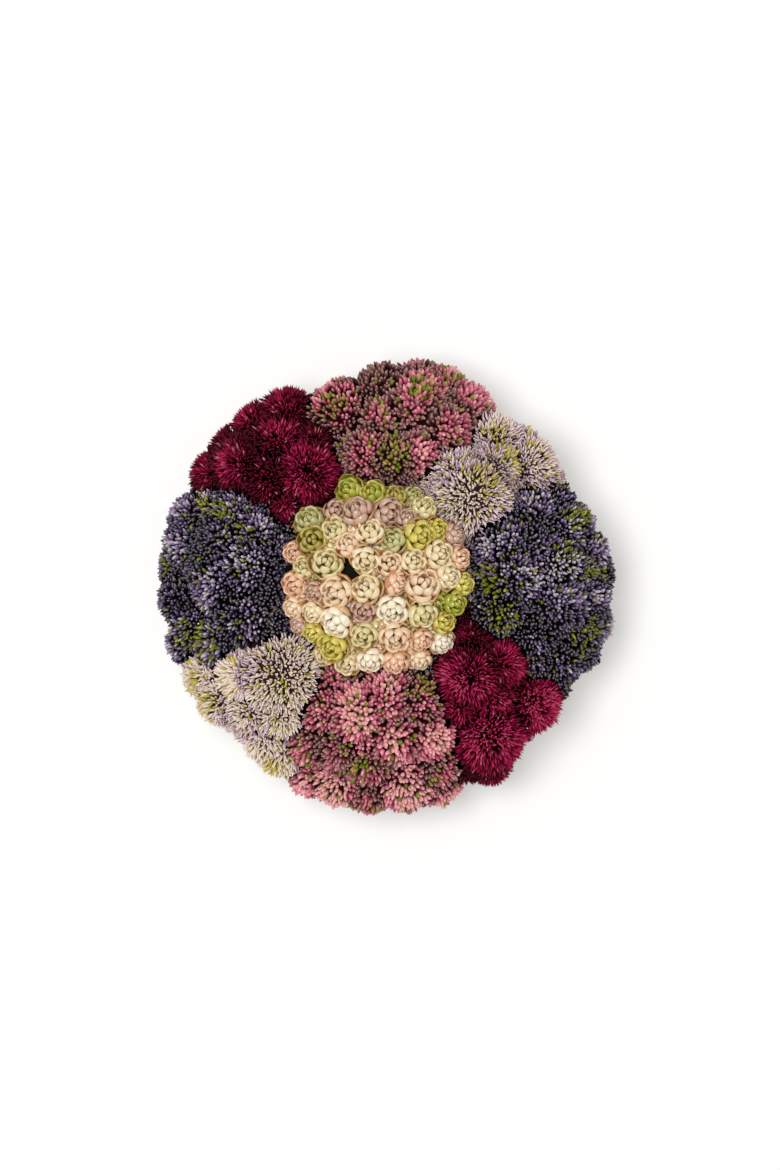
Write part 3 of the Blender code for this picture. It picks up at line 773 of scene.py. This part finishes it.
def glaze_finish():
    """A cream glaze with faint throwing rings, and bare clay under the foot."""
    finish = Finish("cream glaze", Coat_Weight=0.5, Coat_Roughness=0.08)
    place = finish.place()
    height = finish.node("ShaderNodeSeparateXYZ", sockets={0: place}, output=2)
    cloud = finish.noise(scale=28.0, detail=4.0, vector=place)
    grains = finish.noise(scale=1500.0, detail=1.0, vector=place)
    speck = finish.smooth(grains, *GLAZE_SPECK_RISE) * GLAZE_SPECK_SHARE
    glaze = finish.mix(speck, finish.mix(cloud, GLAZE_DEEP, GLAZE_PALE), GLAZE_SPECK)
    glazed = finish.smooth(height, *GLAZE_START)
    finish.put("Base Color", finish.mix(glazed, CLAY, glaze))
    finish.put("Roughness", CLAY_ROUGHNESS - glazed * (CLAY_ROUGHNESS - GLAZE_ROUGHNESS))
    waves = {"Vector": place, "Scale": 60.0, "Distortion": 0.6, "Detail": 1.0}
    rings = finish.node("ShaderNodeTexWave", {"bands_direction": "Z"}, waves)
    finish.bump(rings, strength=0.12, distance=0.6 * MM)
    return finish.material


def foam_finish():
    """Floral foam: green deepened with painted shade, matte, with fine open cells whose pores hold
    painted shade, and deeper wet patches.
    """
    finish = Finish("floral foam", Roughness=0.95)
    place = finish.place()
    cells = finish.node("ShaderNodeTexVoronoi", sockets={"Vector": place, "Scale": 900.0})
    dry = finish.noise(scale=45.0, detail=3.0, vector=place)
    wall = finish.smooth(cells, *FOAM_PORE_SHADE_RISE)
    finish.put("Base Color", finish.mix(wall, FOAM_PORE_SHADE, finish.mix(dry, FOAM_WET_SHADED, FOAM_DRY_SHADED)))
    finish.bump(cells, strength=0.6, distance=0.8 * MM)
    return finish.material


def stem_finish():
    """Stems: olive green with lengthwise fibres and reddish patches."""
    finish = Finish("green stem", Roughness=0.6)
    place = finish.place()
    patch = finish.noise(scale=120.0, detail=3.0, vector=place)
    fibre = finish.noise(scale=900.0, detail=2.0, vector=place)
    green = finish.mix(fibre, STEM_DEEP, STEM_PALE)
    red = finish.smooth(patch, *STEM_RED_RISE)
    finish.put("Base Color", finish.mix(red, green, STEM_RED))
    finish.bump(fibre, strength=0.3, distance=0.4 * MM)
    return finish.material


def core_finish():
    """The inside of the rosette head: near black, painted shade for the depth between rosettes,
    faintly olive.
    """
    finish = Finish("rosette core", Roughness=0.9, Specular_IOR_Level=0.15)
    cloud = finish.noise(scale=160.0, detail=3.0)
    finish.put("Base Color", finish.mix(cloud, CORE_PAINTED_SHADE, CORE_PAINTED_SHADE_OLIVE))
    return finish.material


def mesh_of(name, shape):
    """A smooth mesh from a finished shape, which is freed."""
    mesh = bpy.data.meshes.new(name)
    shape.to_mesh(mesh)
    shape.free()
    mesh.shade_smooth()
    return mesh


def chart_round(shape):
    """Lays the chart over a shape that stands on Z from 0 to 1: U goes round it and V up it."""
    chart = shape.loops.layers.uv.new(CHART)
    for face in shape.faces:
        middle = face.calc_center_median()
        facing = math.atan2(middle.y, middle.x)
        for loop in face.loops:
            x, y, z = loop.vert.co
            on_axis = math.hypot(x, y) < TINY
            turn = 0 if on_axis else math.remainder(math.atan2(y, x) - facing, math.tau)
            loop[chart].uv = ((facing + turn) / math.tau + 0.5, z)
    return shape


def bud_shape(bud):
    """A bud from 0 to 1 along Z, with a half width of 1."""
    shape = bmesh.new()
    rings = [(1, 0), *bud.rings, (0, 0)]
    bmesh.ops.create_uvsphere(shape, u_segments=bud.sides, v_segments=len(rings) - 1, radius=1)
    for vert in shape.verts:
        ring = round(math.acos(max(-1, min(1, vert.co.z))) / math.pi * (len(rings) - 1))
        height, radius = rings[ring]
        flat = Vector((vert.co.x, vert.co.y, 0))
        vert.co = (flat.normalized() if flat.length > TINY else flat) * radius
        vert.co.z = height
    return chart_round(shape)


def chart_root_shade(shape, scale):
    """Lays the chart's strip of painted root shade over a shape, seen from above."""
    chart = shape.loops.layers.uv.new(CHART)
    for face in shape.faces:
        for loop in face.loops:
            x, y = loop.vert.co.xy * scale
            loop[chart].uv = (x + 0.5, (y + 0.5) * ROOT_SHADE_STRIP)
    return shape


def core_shape():
    """A ball of radius 1, in the painted shade of the buds' roots."""
    shape = bmesh.new()
    bmesh.ops.create_icosphere(shape, subdivisions=2, radius=1)
    return chart_root_shade(shape, 0.5)


def copies(shape, turns, places, shades, width):
    """Repeats a shape: its points, corners, face sizes and chart, with a shade for each copy."""
    mesh = mesh_of("one", shape)
    points = np.empty(len(mesh.vertices) * 3)
    mesh.vertices.foreach_get("co", points)
    corners = np.empty(len(mesh.loops), dtype=np.int64)
    mesh.loops.foreach_get("vertex_index", corners)
    sizes = np.empty(len(mesh.polygons), dtype=np.int64)
    mesh.polygons.foreach_get("loop_total", sizes)
    chart = np.empty(len(mesh.loops) * 2)
    mesh.uv_layers[CHART].data.foreach_get("uv", chart)
    bpy.data.meshes.remove(mesh)
    points, chart = points.reshape(-1, 3), chart.reshape(-1, 2)
    number = len(places)
    all_points = np.einsum("kij,nj->kni", turns, points) + places[:, None]
    all_corners = corners + len(points) * np.arange(number)[:, None]
    all_chart = chart[None] * (width, 1) + np.stack([shades, np.zeros(number)], axis=1)[:, None]
    return (
        all_points.reshape(-1, 3), all_corners.ravel(), np.tile(sizes, number),
        all_chart.reshape(-1, 2),
    )


def joined(name, parts, finish):
    """One mesh object from repeated parts."""
    points, corners, sizes, chart = [], [], [], []
    for part in parts:
        corners.append(part[1] + sum(len(p) for p in points))
        points.append(part[0])
        sizes.append(part[2])
        chart.append(part[3])
    points, corners = np.concatenate(points), np.concatenate(corners)
    sizes, chart = np.concatenate(sizes), np.concatenate(chart)
    mesh = bpy.data.meshes.new(name)
    mesh.vertices.add(len(points))
    mesh.vertices.foreach_set("co", points.ravel())
    mesh.loops.add(len(corners))
    mesh.loops.foreach_set("vertex_index", corners)
    mesh.polygons.add(len(sizes))
    mesh.polygons.foreach_set("loop_start", np.concatenate([[0], np.cumsum(sizes)[:-1]]))
    mesh.uv_layers.new(name=CHART)
    mesh.uv_layers[CHART].data.foreach_set("uv", np.clip(chart, *CHART_LIMITS).ravel())
    mesh.update(calc_edges=True)
    mesh.validate()
    mesh.shade_smooth()
    return placed(name, mesh, finish)


def placed(name, mesh, finish):
    """A piece on the part's one body."""
    item = bpy.data.objects.new(name, mesh)
    bpy.context.scene.collection.objects.link(item)
    mesh.materials.append(finish)
    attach(item, "root")
    return item


def upright_frames(axes, spins):
    """A rotation for each axis that turns +Z to it, after a spin about it."""
    helper = np.where(np.abs(axes[:, 2:]) < NEARLY_UPRIGHT, (0.0, 0.0, 1.0), (1.0, 0.0, 0.0))
    side = np.cross(helper, axes)
    side /= np.linalg.norm(side, axis=1, keepdims=True)
    other = np.cross(axes, side)
    cos, sin = np.cos(spins)[:, None], np.sin(spins)[:, None]
    return np.stack([side * cos + other * sin, other * cos - side * sin, axes], axis=2)


def unit(vectors):
    return vectors / np.linalg.norm(vectors, axis=-1, keepdims=True)


def drift(points, waves):
    """A slow variation over space, about -1 to 1, from a few waves."""
    return np.sin(points @ waves[:, :3].T / PATCH_SIZE + waves[:, 3]).sum(axis=1) / len(waves) ** 0.5


def bud_shades(bud, look, shift, tips, out, axis, waves, chance):
    """A shade for each bud of a cluster, with its green buds round a spot near its middle."""
    offset, reach = SHADES[look]
    mean = bud.shade + offset + shift + chance.normal(0, CLUSTER_SPREAD)
    shades = mean + chance.normal(0, bud.spread, len(out)) + drift(tips, waves) * bud.patches
    shades = shades.clip(*PLAIN_LIMITS)
    spot = unit(axis + chance.normal(0, GREEN_OFF_MIDDLE, 3))
    near = np.arccos((out @ spot).clip(-1, 1)) < reach * chance.uniform(*GREEN_EDGE, len(out))
    green = chance.random(len(out)) < np.where(near, GREEN_SHARE, bud.strays)
    shades[green] = chance.normal(*GREEN_SHADE, green.sum()).clip(*GREEN_LIMITS)
    return shades


def directions(polar, around):
    flat = np.sin(polar)
    return np.stack([flat * np.cos(around), flat * np.sin(around), np.cos(polar)], axis=1)


def hidden(tips, others):
    """Which tips lie inside another cluster, under one where no side shows it, or among rosettes."""
    across = np.linalg.norm(tips[:, None, :2] - others[None, :, :2], axis=2)
    below = others[:, 2] - tips[:, 2:]
    inside = np.hypot(across, below) < others[:, 3] - BURIED
    roof = np.sqrt(np.maximum(others[:, 3] ** 2 - across**2, 0)) + below
    under = (across < others[:, 3] * ROOF_SHARE) & (roof > ROOF_DEPTH)
    inner = np.linalg.norm(tips[:, :2], axis=1) < OPEN_EDGE
    among_rosettes = np.linalg.norm(tips[:, :2] - np.array(DOME_CENTRE)[:2], axis=1) < DOME_CLEAR
    return inside.any(axis=1) | (under.any(axis=1) & inner) | among_rosettes


def drawn_in(points, outline, margins):
    """Moves what stands out of the mass back inside its outline, seen from above."""
    clear = clearances(points[:, :2], outline)
    past = np.maximum(clear.min(axis=1) - margins, 0)
    past[np.linalg.norm(points[:, :2], axis=1) < OPEN_EDGE] = 0
    inward = unit(outline[clear.argmin(axis=1), :2] - points[:, :2])
    return points + np.column_stack([inward * past[:, None], np.zeros(len(points))])


def creases(tips, out, others):
    """For buds in a crease to another cluster: how far each is raised, and how much painted shade it
    gets.
    """
    across = tips[:, None] - others[None, :, :3]
    distance = np.linalg.norm(across, axis=2)
    off = np.abs(distance - others[:, 3])
    near = (1 - off / CREASE_WIDTH).clip(0, 1) ** 2
    upward = unit(out + (across * (near / distance)[:, :, None]).sum(axis=1))
    painted_crease_shade = (1 - off.min(axis=1) / CREASE_PAINTED_SHADE_WIDTH).clip(0, 1) * CREASE_PAINTED_SHADE
    return upward * near.max(axis=1, keepdims=True) * CREASE_LIFT, painted_crease_shade


def cluster_buds(bud, clusters, i, shift, hub, waves, chance):
    """Frames, places and shades of the buds on one cluster, with hidden ones left out."""
    centre, radius = clusters.balls[i, :3], clusters.balls[i, 3]
    others = np.delete(clusters.balls, i, axis=0)
    axis = clusters.axes[i]
    # The ball's buds lie on a spiral, as close as a hexagonal pattern at their spacing.
    number = int(4 * math.pi * radius**2 / (math.sqrt(3) / 2 * bud.spacing**2))
    steps = np.arange(number) + 0.5
    polar = np.arccos(1 - 2 * steps / number)
    kept = (polar < BUD_CAP) & (polar > math.radians(bud.hollow))
    steps, polar = steps[kept], polar[kept]
    around = steps * GOLDEN_ANGLE + chance.uniform(0, math.tau)
    jitter = BUD_JITTER * bud.spacing / radius
    polar = polar + chance.normal(0, jitter, len(polar))
    across = np.maximum(np.sin(polar), BUD_JITTER_POLE)
    around = around + chance.normal(0, jitter, len(polar)) / across
    turn = upright_frames(axis[None], np.zeros(1))[0]
    out = directions(polar, around) @ turn.T
    splay = bud.splay * chance.normal(1, CLUSTER_BUD_SPLAY)
    lean = directions(np.minimum(polar * splay, LEAN_LIMIT), around) @ turn.T
    seen = ~hidden(centre + out * radius, others)
    out, lean = out[seen], lean[seen]
    tips = centre + out * (radius * chance.uniform(*TIP_REACH, (len(out), 1)))
    # Buds in a crease are raised and get painted shade.
    lift, painted_crease_shade = creases(centre + out * radius, out, others)
    tips += lift
    tips = drawn_in(tips, clusters.outline, chance.normal(*OUTLINE_MARGIN, len(tips)))
    tips[:, :2] *= np.minimum(EDGE_RADIUS / np.linalg.norm(tips[:, :2], axis=1), 1)[:, None]
    flow = unit(tips - hub) * bud.flow
    axes = unit(lean + flow + chance.normal(0, bud.wobble, out.shape) * (1 + bud.flow))
    size = chance.normal(1, BUD_SIZE, (len(out), 2)) * chance.normal(1, CLUSTER_BUD_SIZE)
    size = size.clip(*BUD_SIZE_LIMITS)
    length, width = bud.length * size[:, 0], bud.width / 2 * size[:, 1]
    turns = upright_frames(axes, chance.uniform(0, math.tau, len(out)))
    turns = turns * np.stack([width, width, length], axis=1)[:, None]
    look = clusters.looks[i]
    # The crease's painted shade lowers the buds' place in the palette.
    shades = bud_shades(bud, look, shift - painted_crease_shade, tips, out, axis, waves, chance)
    return turns, tips - axes * length[:, None], shades


def cluster_axes(heads, centres):
    """Each cluster faces up and away from the middle of its head and of the bowl."""
    middles = {name: centres[heads == name].mean(axis=0) for name in CLUSTERS}
    away = (centres - np.array([middles[name] for name in heads])) / HEAD_SPAN
    return unit(np.array((0, 0, 1)) + (centres * (1, 1, 0) / MOUND_RADIUS + away) * CLUSTER_TILT)


@dataclass
class Clusters:
    """Each cluster's head, look, ball and axis. The outline's balls have the solids' size."""

    heads: np.ndarray
    looks: np.ndarray
    balls: np.ndarray
    axes: np.ndarray
    outline: np.ndarray


def dressed_clusters():
    """Every cluster: the listed ones, the fillers and the deep ones."""
    owners, centres, radii = settled_places()
    deep_owners, deep = deep_clusters(owners, centres, radii)
    heads = np.array([*owners, *deep_owners])
    left = {name: list(letters) for name, letters in LOOKS.items()}
    looks = [left[name].pop(0) if left[name] else FILLER_SHADED_LOOKS[kind_of(name)] for name in heads]
    balls = np.vstack([np.column_stack([centres, radii]), deep])
    axes = cluster_axes(heads, balls[:, :3])
    outline = balls.copy()
    balls[:, :3] -= axes * balls[:, 3:] * BALL_SINK
    balls[:, 3] *= BALL_SWELL
    return Clusters(heads, np.array(looks), balls, axes, outline)


def hull_core(centres):
    """A slab in painted root shade through a head's clusters' lower side, so that no light comes
    through.
    """
    shape = bmesh.new()
    level = np.linalg.norm(centres[:, :2], axis=1, keepdims=True)
    inward = np.minimum(HULL_REACH / level, 1)
    for centre in np.hstack([centres[:, :2] * inward, centres[:, 2:]]):
        for depth in HULL_DEPTHS:
            shape.verts.new(Vector(centre) - Vector((0, 0, depth)))
    hull = bmesh.ops.convex_hull(shape, input=shape.verts)
    inside = [g for g in hull["geom_interior"] if isinstance(g, bmesh.types.BMVert)]
    bmesh.ops.delete(shape, geom=inside, context="VERTS")
    bmesh.ops.recalc_face_normals(shape, faces=shape.faces)
    chart_root_shade(shape, HULL_CHART_SCALE)
    return copies(shape, np.eye(3)[None], np.zeros((1, 3)), np.zeros(1), 1)


def head_buds(name, clusters, finish, chance):
    """One sedum head: its buds and their cores in painted root shade."""
    bud = BUDS[kind_of(name)]
    own = np.flatnonzero(clusters.heads == name)
    centres, radii = clusters.balls[own, :3], clusters.balls[own, 3]
    waves = np.column_stack(
        [chance.normal(0, 1, (PATCH_WAVES, 3)), chance.uniform(0, math.tau, PATCH_WAVES)]
    )
    hub = centres.mean(axis=0) * FLOW_MIDDLE - (0, 0, FLOW_DEPTH)
    shift = HEAD_SHADES[name]
    found = [cluster_buds(bud, clusters, i, shift, hub, waves, chance) for i in own]
    turns, places, shades = (np.concatenate(values) for values in zip(*found, strict=True))
    inner = np.maximum(radii - bud.length * CORE_SHARE, radii * SMALLEST_CORE)
    cores = copies(core_shape(), inner[:, None, None] * np.eye(3), centres, np.zeros(len(own)), 1)
    cores = (drawn_in(cores[0], clusters.outline, -bud.length * CORE_INSET), *cores[1:])
    buds = copies(bud_shape(bud), turns, places, shades, SHADE_WIDTH)
    item = joined(f"buds_{name}", [buds, cores, hull_core(centres)], finish)
    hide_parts(f"head_{name}")


def leaf(shape, layer, facing, swell, outer, chance):
    """One leaf of a rosette: a plump lens bent along its layer's curve."""
    _, half_angle, thickness, foot, bend, tip = layer
    made = bmesh.ops.create_uvsphere(shape, u_segments=LEAF_SIDES, v_segments=LEAF_ROWS, radius=1)
    chart = shape.loops.layers.uv[CHART]
    shade = chance.normal(0, LEAF_SHADE)
    spread = math.radians(half_angle)
    band = (0 if outer else INNER_BAND) + BAND_MARGIN
    for face in {face for vert in made["verts"] for face in vert.link_faces}:
        for loop in face.loops:
            across, along, _ = loop.vert.co
            reach = min((along + 1) / 2 + LEAF_SIDE_REACH * across * across, 1)
            loop[chart].uv = (0.5 + shade + across * LEAF_SHADE_WIDTH, band + reach * BAND_SPAN)
    for vert in made["verts"]:
        across, along, thick = vert.co
        share = (along + 1) / 2
        weights = ((1 - share) ** 2, 2 * share * (1 - share), share**2)
        radius, height = np.array(weights) @ np.array((foot, bend, tip))
        across *= 1 + LEAF_BREADTH * along * along
        thick = math.copysign(abs(thick) ** LEAF_FULLNESS, thick) * thickness
        belly = LEAF_BELLY * (0.5 - across * across) * share
        radius = radius * swell + belly - thick
        height += across * LEAF_SWIRL + thick
        angle = facing + across * spread
        vert.co = (radius * math.cos(angle), radius * math.sin(angle), height)


def rosette_shape(chance):
    """A rosette of radius 1 about Z: layers of cupped leaves."""
    shape = bmesh.new()
    shape.loops.layers.uv.new(CHART)
    for depth, layer in enumerate(ROSETTE_LAYERS):
        number = layer[0]
        for i in range(number):
            facing = math.tau * (i + depth / 2) / number + chance.normal(0, LEAF_TURN)
            leaf(shape, layer, facing, chance.normal(1, LEAF_SIZE), depth == 0, chance)
    bmesh.ops.recalc_face_normals(shape, faces=shape.faces)
    return shape


def rosette_dome():
    """The core under the rosettes, in painted shade with a faint olive."""
    shape = bmesh.new()
    bmesh.ops.create_icosphere(shape, subdivisions=3, radius=1)
    for vert in shape.verts:
        tall = DOME_CORE_RISE if vert.co.z > 0 else DOME_CORE_DEPTH
        vert.co = DOME_CENTRE + vert.co * Vector((DOME_CORE_RADIUS, DOME_CORE_RADIUS, tall))
    return mesh_of("rosette_core", shape)


def small_rosettes(places, shades):
    """Low rosettes that fill the bare places between the listed ones, all but one."""
    grid = grid_points(DOME_RADIUS, BARE_PITCH)
    grid = grid[np.linalg.norm(grid, axis=1) < BARE_REACH] + np.array(DOME_CENTRE)[:2]
    grid = grid[np.linalg.norm(grid - OPEN_PLACE, axis=1) > OPEN_PLACE_RADIUS]
    while True:
        clear = clearances(grid, places)
        own = clear.min(axis=1)
        best = own.argmax()
        if own[best] < BARE_LIMIT:
            return places, shades
        x, y = grid[best]
        height = dome_height(x, y) - BARE_DEPTH
        places = np.vstack([places, (x, y, height, own[best] + BARE_OVERLAP)])
        shades = np.append(shades, shades[clear[best].argmin()])


def rosettes(finish, dark, chance):
    """The central head: every rosette in its own shade, and the core in painted shade that they stand
    on.
    """
    places = rosette_places()
    middle = np.array(DOME_CENTRE)[:2]
    places[:, :2] = middle + (places[:, :2] - middle) * ROSETTE_GATHER
    letters = list(ROSETTE_PALETTE)
    step = 1 / (len(letters) - 1)
    shades = np.array([letters.index(letter) * step for letter in ROSETTE_SHADES])
    places, shades = small_rosettes(places, shades)
    outward = (places[:, :3] - np.array(DOME_CENTRE)) * (1, 1, 0)
    wobble = chance.normal(0, ROSETTE_WOBBLE, outward.shape)
    axes = unit((0, 0, 1) + outward / DOME_RADIUS * ROSETTE_LEAN + wobble)
    sizes = places[:, 3] * ROSETTE_SWELL
    turns = upright_frames(axes, chance.uniform(0, math.tau, len(places))) * sizes[:, None, None]
    shades = shades.clip(*SHADE_LIMITS) - step / 2
    parts = []
    for form in range(ROSETTE_FORMS):
        own = np.arange(len(places)) % ROSETTE_FORMS == form
        parts.append(copies(rosette_shape(chance), turns[own], places[own, :3], shades[own], step))
    item = joined("rosettes", parts, finish)
    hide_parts("rosette_head")
    core = placed("rosette_core", rosette_dome(), dark)


def stalks(name, centres, finish):
    """A head's stem, and the branches from it to each cluster, as tapered bars."""
    middle = centres.mean(axis=0)
    hub = middle - (0, 0, HUB_DEPTH)
    down = unit(np.array((-middle[0] * STEM_LEAN, -middle[1] * STEM_LEAN, -STEM_LENGTH)))
    stem_foot = hub + down * (COLLAR_LENGTH + GAP + STEM_LENGTH)
    starts = np.vstack([stem_foot, np.tile(hub, (len(centres), 1))])
    ends = np.vstack([hub - down * STEM_RADIUS, centres - (0, 0, BRANCH_STOP)])
    widths = np.array([STEM_RADIUS] + [BRANCH_RADIUS] * len(centres))
    reach = np.linalg.norm(ends - starts, axis=1)
    turns = upright_frames((ends - starts) / reach[:, None], np.zeros(len(starts)))
    turns = turns * np.stack([widths, widths, reach], axis=1)[:, None]
    shape = bmesh.new()
    for turn, place in zip(turns, (starts + ends) / 2, strict=True):
        bar = Matrix.Translation(place) @ Matrix(turn.tolist()).to_4x4()
        bmesh.ops.create_cone(
            shape, cap_ends=True, segments=STALK_SIDES, radius1=1, radius2=STALK_TAPER, depth=1,
            matrix=bar,
        )
    item = placed(f"stalk_{name}", mesh_of(f"stalk_{name}", shape), finish)
    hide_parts(f"stem_{name}")


def wall_curve(top, rim, floor, foot):
    """Points down a bowl's wall from its rim, on a quarter of an ellipse."""
    for i in range(BOWL_WALL_POINTS):
        angle = math.pi / 2 * (1 - i / (BOWL_WALL_POINTS - 1))
        yield foot + (rim - foot) * math.sin(angle), floor + (top - floor) * (1 - math.cos(angle))


def bowl(finish):
    """The bowl, spun from the profile of the frame's bowl with a rounder lip and a foot ring."""
    top = RIM_HEIGHT - WALL / 2
    inner = list(wall_curve(top, RIM_RADIUS - WALL, BOWL_FLOOR, FOOT_RADIUS - WALL))
    outer = list(wall_curve(top, RIM_RADIUS, FOOT_HEIGHT, FOOT_RADIUS))
    lip = [
        (RIM_RADIUS - WALL / 2 + WALL / 2 * math.cos(a), top + WALL / 2 * math.sin(a))
        for a in np.radians(LIP_ANGLES)
    ]
    foot = [(FOOT_RADIUS - inward * MM, height * MM) for inward, height in FOOT_RING]
    profile = [(0, BOWL_FLOOR), *inner[::-1], *lip, *outer, *foot, (0, UNDERSIDE_HEIGHT)]
    shape = bmesh.new()
    verts = [shape.verts.new((radius, 0, height)) for radius, height in profile]
    edges = [shape.edges.new(pair) for pair in zip(verts, verts[1:])]
    bmesh.ops.spin(
        shape, geom=[*verts, *edges], axis=(0, 0, 1), cent=(0, 0, 0), angle=math.tau,
        steps=BOWL_STEPS, use_merge=True,
    )
    bmesh.ops.remove_doubles(shape, verts=shape.verts, dist=WELD)
    bmesh.ops.recalc_face_normals(shape, faces=shape.faces)
    item = placed("bowl_glazed", mesh_of("bowl_glazed", shape), finish)
    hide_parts("bowl")


def camera():
    """The camera, as far up as gives the photo's scale at the height of the heads."""
    data = bpy.data.cameras.new("camera")
    data.lens = LENS
    data.sensor_width = SENSOR
    item = bpy.data.objects.new("camera", data)
    bpy.context.scene.collection.objects.link(item)
    x, y = (offset * PIXEL for offset in PICTURE_OFFSET)
    item.location = (x, y, SCALE_HEIGHT + PICTURE_LONG_SIDE * PIXEL * LENS / SENSOR)
    bpy.context.scene.camera = item


def key_light():
    """A round, soft light from the upper left."""
    data = bpy.data.lights.new("key", "AREA")
    data.shape = "DISK"
    data.size = KEY_SIZE
    data.energy = KEY_POWER
    item = bpy.data.objects.new("key", data)
    bpy.context.scene.collection.objects.link(item)
    item.location = KEY_PLACE
    item.rotation_euler = (LIGHT_AIM - KEY_PLACE).to_track_quat("-Z", "Y").to_euler()


def stage():
    """A pale floor and an even sky."""
    shape = bmesh.new()
    bmesh.ops.create_grid(shape, x_segments=1, y_segments=1, size=FLOOR_HALF)
    mesh = mesh_of("floor", shape)
    finish = Finish("pale floor", Roughness=0.9, Base_Color=FLOOR_COLOUR)
    mesh.materials.append(finish.material)
    floor = bpy.data.objects.new("floor", mesh)
    bpy.context.scene.collection.objects.link(floor)
    world = bpy.context.scene.world or bpy.data.worlds.new("sky")
    bpy.context.scene.world = world
    world.use_nodes = True
    sky = world.node_tree.nodes["Background"]
    sky.inputs["Color"].default_value = (1, 1, 1, 1)
    sky.inputs["Strength"].default_value = SKY_STRENGTH
    bpy.context.scene.view_settings.view_transform = "Standard"


def main():
    chance = np.random.default_rng(SEED)
    clusters = dressed_clusters()
    finishes = {kind: bud_finish(kind) for kind in BUDS}
    green = stem_finish()
    for name in CLUSTERS:
        head_buds(name, clusters, finishes[kind_of(name)], chance)
        stalks(name, clusters.balls[clusters.heads == name, :3], green)
    rosettes(rosette_finish(), core_finish(), chance)
    bowl(glaze_finish())
    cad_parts["foam"].material_slots[0].material = foam_finish()
    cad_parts["stem_rosettes"].material_slots[0].material = green
    camera()
    key_light()
    stage()


main()
